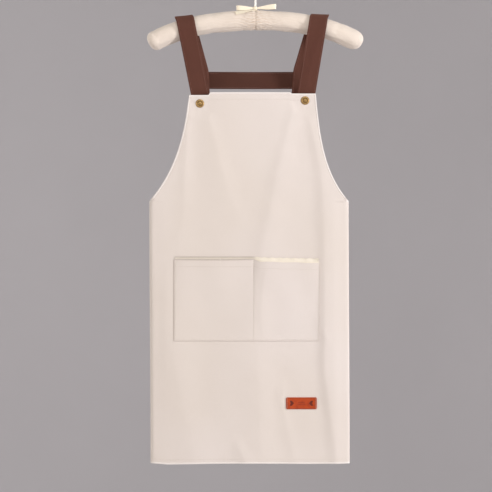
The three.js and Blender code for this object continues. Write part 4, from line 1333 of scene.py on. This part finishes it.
def settled_pad(along, around):
    swell = pad_swell(along, PAD_HALF_SPAN)
    rest = pad_point(along, around, swell, -pad_lift(along, around, swell))
    whole = mesh_from("cover_whole", rest, grid_faces(*along.shape, wrap=True), COTTON)
    pinned = bell((around - PAD_SEAM_ROLL) * PAD_HALF_HEIGHT, 2 * MM) + bell(along, 2.5 * MM)
    pinned = pinned + smoothstep(1 - (PAD_HALF_SPAN - np.abs(along)) / (8 * MM))
    for strap in STRAPS.values():
        pinned = pinned + fade(np.abs(along - strap["top_x"]), STRAP_PRESS, 10 * MM)
    pinned = np.clip(pinned, 0, 1)
    relax_cover(whole, pinned.ravel())
    shift = np.array([v.co for v in whole.data.vertices]).reshape(rest.shape) - rest
    bpy.data.objects.remove(whole)
    far = np.linalg.norm(shift, axis=-1, keepdims=True)
    allowed = SETTLE_LIMIT * (1 - pinned[..., None])
    return rest + shift * np.minimum(1, allowed / np.maximum(far, 1e-9))


def make_pad():
    s = pad_stations()
    roll = angles(PAD_ROLLS)
    settled = settled_pad(*np.meshgrid(s, roll, indexing="ij"))
    middle = len(s) // 2
    for name, rows in (("left", slice(0, middle + 1)), ("right", slice(middle, None))):
        part = np.concatenate([settled[rows], settled[rows, :1]], axis=1)
        part[-1 if name == "left" else 0, :, 0] += SIDES[name] * 0.2 * MM
        flat_s, around = np.meshgrid(s[rows], np.append(roll, 2 * math.pi), indexing="ij")
        flat = np.stack([flat_s, around * PAD_HALF_HEIGHT], axis=-1)
        cover = mesh_from(f"cover_{name}_cotton", part, grid_faces(*flat_s.shape), COTTON, flat)
        # Painted shade: the cover is marked darker down the valleys of its gathers.
        valley_shade = np.clip(-gathers(flat_s, around) / (1.2 * MM), 0, 1) * (np.abs(flat_s) > 1 * MM)
        mark(cover, "crease", valley_shade)
        weld(cover, 0.05 * MM)
        thicken(cover, 1.0 * MM, offset=1.0)
        settle("hanger", "cover_cotton", cover)
        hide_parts(f"cover_{name}")
    column = int(np.argmin(np.abs(roll - PAD_SEAM_ROLL)))
    keep = (np.abs(s) > 4 * MM) & (np.abs(s) < PAD_HALF_SPAN - 10 * MM)
    seams = []
    for part in (settled[keep & (s < 0)], settled[keep & (s > 0)]):
        outward = unit(part[:, column] - part.mean(axis=1))
        seams.append((part[:, column] + outward * 0.1 * MM, outward))
    seam = stitching("cover_stitching", seams, CREAM_THREAD, length=2.0 * MM, radius=0.22 * MM)
    settle("hanger", "cover_cotton", seam)
    make_foam(s[np.abs(s) < PAD_HALF_SPAN - 6 * MM])


def make_foam(s):
    """The foam sleeves inside, a little slacker than their cover."""
    for name, side in SIDES.items():
        half = np.sort(np.append(s[s * side > 0], side * 0.5 * MM))
        along, around = np.meshgrid(half, angles(32), indexing="ij")
        swell = pad_swell(along, PAD_HALF_SPAN - 4.5 * MM)
        points = pad_point(along, around, swell, 4.0 * MM + 2.2 * MM * bell(along, 8 * MM))
        foam = mesh_from(f"foam_sleeve_{name}", points, tube_faces(*along.shape), FOAM)
        settle("hanger", "foam", foam)
        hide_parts(f"foam_{name}")


# ---- bow and hook -----------------------------------------------------------------------------

BOW_LOW, BOW_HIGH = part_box("ribbon_bow")
KNOT_Y, KNOT_Z = -5.7 * MM, PAD_TOP_Z + 4.2 * MM
RIBBON_WIDTH = 10 * MM


def pleated(reach):
    """Ribbon is drawn into lengthwise pleats where the knot grips it."""
    return lambda a, s: (
        0.55 * MM * math.exp(-min(s, max(2 * reach - s, 0)) / (9 * MM)) * math.cos(a * 7.0)
    )


def bow_loop(name, side, reach, rise, droop):
    """One loop: ribbon on edge, out along a teardrop and back to the knot."""
    t = np.linspace(0, 1, 60)
    out = np.sin(t * math.pi) ** 0.85
    swing = np.sin(t * 2 * math.pi) * 3.6 * MM * (0.35 + 0.65 * np.sin(t * math.pi))
    z = KNOT_Z + rise * out - droop * np.sin(out * math.pi)
    path = resampled(xyz(side * out * reach, KNOT_Y - swing, z), 0.9 * MM)[0]
    width = RIBBON_WIDTH * (0.42 + 0.58 * smoothstep(np.abs(path[:, 0]) / reach * 1.25))
    lean = np.linspace(0.28, -0.28, len(path))
    across = xyz(0.0, np.sin(lean), np.cos(lean))
    return band(name, path, across, width, RIBBON_THICKNESS, SATIN, pleated(reach))


def bow_tail(name, side, facing, end_roll, reach):
    """One tail lying on the padding."""
    t = np.linspace(0, 1, 34)
    roll = facing * lerp(0.26, end_roll, t ** 0.9)
    lift = 0.9 * MM + 0.5 * MM * np.sin(t * 7)
    here, beside = (pad_point(side * t * reach, roll + turn, 1.0, -lift) for turn in (0.0, 0.05))
    width = RIBBON_WIDTH * (0.45 + 0.5 * smoothstep(t * 2.5))
    return band(name, here, beside - here, width, RIBBON_THICKNESS, SATIN, pleated(1.0))


def bow_knot():
    """The knot: a tight pleated band wrapped over the loops' roots."""
    rows, columns = 20, 40
    polar = math.pi * (np.arange(rows)[:, None] + 0.5) / rows
    turn = angles(columns)
    thick = np.sin(polar) ** 0.7 * (1 + 0.07 * np.cos(6 * polar + 0.8 * np.sin(turn)))
    x = 3.9 * MM * np.cos(polar) * (1 + 0.1 * np.cos(turn))
    y = KNOT_Y + 3.1 * MM * thick * np.cos(turn)
    points = xyz(x, y, KNOT_Z + 4.3 * MM * thick * np.sin(turn))
    return mesh_from("bow_knot", points, tube_faces(rows, columns), SATIN, points[..., [0, 2]])


def bow_wrap():
    """The turn of ribbon round the stem behind the knot."""
    k = np.arange(9)[:, None]
    turn = angles(40)
    z = np.linspace(PAD_TOP_Z + 0.8 * MM, KNOT_Z + 3 * MM, 9)[:, None]
    radius = (3.0 + 0.5 * np.sin(k / 8 * math.pi) + 0.15 * np.cos(k * 2.3)) * MM
    points = xyz(radius * np.cos(turn), radius * np.sin(turn), z)
    around = np.arctan2(points[..., 1], points[..., 0]) * 3.0 * MM
    weave = np.stack([around, points[..., 2]], axis=-1)
    wrap = mesh_from("bow_wrap", points, grid_faces(9, 40, wrap=True), SATIN, weave)
    return thicken(wrap, RIBBON_THICKNESS)


def make_bow():
    pieces = [
        bow_loop("bow_loop_left", -1, -BOW_LOW.x - 2 * MM, 0.4 * MM, 0.3 * MM),
        bow_loop("bow_loop_right", 1, BOW_HIGH.x - 1 * MM, 3.6 * MM, 0.2 * MM),
        bow_tail("bow_tail_front", -1, 1, 0.84, 0.039),
        bow_tail("bow_tail_back", 1, -1, 0.84, 0.036),
        bow_knot(),
        bow_wrap(),
    ]
    settle("hanger", "ribbon_satin", *pieces)
    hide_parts("ribbon_bow")


SLEEVE_RADIUS = 1.95 * MM
SLEEVE_SIDES = 24
HOOK_INNER_RADIUS = 19 * MM
HOOK_BEND_RADIUS = 10 * MM
HOOK_TIP_ANGLE = math.radians(200)


def hook_line():
    """The hook's middle line: tip, over the rail, back under it and down the stem."""
    ring = HOOK_INNER_RADIUS + SLEEVE_RADIUS
    ring_z = -HOOK_INNER_RADIUS
    bend_z = ring_z - math.sqrt(ring ** 2 + 2 * ring * HOOK_BEND_RADIUS)
    meet = math.atan2(bend_z - ring_z, HOOK_BEND_RADIUS)
    over = np.linspace(HOOK_TIP_ANGLE, meet, 90)
    under = np.linspace(meet + math.pi, math.pi, 24)[1:]
    return np.concatenate([
        xyz(ring * np.cos(over), 0.0, ring_z + ring * np.sin(over)),
        xyz(HOOK_BEND_RADIUS * (1 + np.cos(under)), 0.0, bend_z + HOOK_BEND_RADIUS * np.sin(under)),
        [(0, 0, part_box("hook_sleeve")[0].z)],
    ])


def make_hook():
    points, _ = resampled(hook_line(), 1 * MM)
    along = tangents(points)
    side = np.cross(along, (0, 1, 0))
    t = np.linspace(0, 1, 7)[:-1, None]
    radius = np.maximum(np.sqrt(1 - (1 - t) ** 2) * SLEEVE_RADIUS, 0.01 * MM)
    radius = np.concatenate([radius, np.full((len(points), 1), SLEEVE_RADIUS)])
    centres = np.concatenate([points[0] - along[0] * SLEEVE_RADIUS * (1 - t), points])
    side = np.concatenate([np.tile(side[0], (len(t), 1)), side])
    turn = angles(SLEEVE_SIDES)[:, None]
    rings = np.cos(turn) * side[:, None] + np.sin(turn) * np.array((0, 1, 0))
    rings = centres[:, None] + radius[:, None] * rings
    faces = tube_faces(len(rings), SLEEVE_SIDES)
    sleeve = mesh_from("hook_sleeve_smooth", rings, faces, SLEEVE)
    settle("hook", "white_sleeve", sleeve)
    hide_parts("hook_sleeve")


def finish_cad_nodes():
    """The pieces that stay as CAD made them get their finishes."""
    finishes = {"hook_wire": STEEL, "hook_washer": STEEL, "hook_nut": STEEL, "hanger_core": WOOD}
    for name, material in finishes.items():
        mesh = frame["nodes"][name].data
        mesh.materials.clear()
        mesh.materials.append(material)


# ---- studio -----------------------------------------------------------------------------------

FLOOR_Z = HEM_Z - 1.6
FLOOR_FLAT, FLOOR_SWEEP, WALL_HEIGHT = 5.4, 1.2, 4.4
# Soft lights, brighter from the right: place, size, power and colour
LIGHTS = {
    "key": ((4.2, -2.4, -0.1), (0.9, 1.6), 185, (1.0, 0.985, 1.0)),
    "front": ((0.3, -3.0, 2.3), (2.2, 1.6), 66, (1.0, 0.975, 0.95)),
    "fill": ((-4.0, -2.4, -0.2), (2.2, 2.2), 72, (1.0, 0.95, 0.89)),
    "back_left": ((-2.6, 3.6, 0.3), (2.4, 2.0), 90, (1.0, 0.98, 0.96)),
    "back_right": ((3.4, 3.0, 0.3), (2.4, 2.0), 90, (1.0, 0.98, 0.97)),
}


def placed(name, data, location):
    obj = bpy.data.objects.new(name, data)
    obj.location = location
    bpy.context.scene.collection.objects.link(obj)
    return obj


def make_camera():
    data = bpy.data.cameras.new("camera")
    data.sensor_width = SENSOR_MM
    data.lens = SENSOR_MM * CAMERA_DISTANCE / VIEW_SIDE
    data.clip_end = 50
    camera = placed("camera", data, (VIEW_CENTRE_X, FRONT_LOW.y - CAMERA_DISTANCE, VIEW_CENTRE_Z))
    camera.rotation_euler = (math.pi / 2, 0, 0)
    bpy.context.scene.camera = camera
    bpy.context.scene.view_settings.view_transform = "Standard"


def make_studio():
    """A plain pale floor that sweeps up all round, and the lights."""
    sweep = np.linspace(0, math.pi / 2, 14)[1:]
    radius = [0.02, FLOOR_FLAT / 2, FLOOR_FLAT, *(FLOOR_FLAT + FLOOR_SWEEP * np.sin(sweep))]
    rise = [0, 0, 0, *(FLOOR_SWEEP * (1 - np.cos(sweep))), FLOOR_SWEEP + WALL_HEIGHT]
    radius = np.array([*radius, FLOOR_FLAT + FLOOR_SWEEP])[:, None]
    turn = angles(96)
    points = xyz(radius * np.cos(turn), radius * np.sin(turn), FLOOR_Z + np.array(rise)[:, None])
    faces = tube_faces(len(rise), len(turn))[:-1]
    mesh_from("studio_floor", points, faces, PAPER)
    world = bpy.data.worlds.new("studio")
    bpy.context.scene.world = world
    world.use_nodes = True
    background = world.node_tree.nodes["Background"]
    background.inputs["Color"].default_value = (1.0, 0.98, 0.97, 1)
    background.inputs["Strength"].default_value = 0.25
    for name, (place, size, energy, colour) in LIGHTS.items():
        data = bpy.data.lights.new(name, "AREA")
        data.shape = "RECTANGLE"
        data.size, data.size_y = size
        data.energy = energy
        data.color = colour
        light = placed(name, data, place)
        aim = Vector((VIEW_CENTRE_X, 0, VIEW_CENTRE_Z)) - Vector(place)
        light.rotation_euler = aim.to_track_quat("-Z", "Y").to_euler()
        light.visible_camera = False


make_camera()
make_studio()
make_front()
make_wings()
make_pocket()
make_label()
make_straps()
make_cross_strap()
make_strap_patches()
make_studs()
make_pad()
make_bow()
make_hook()
finish_cad_nodes()
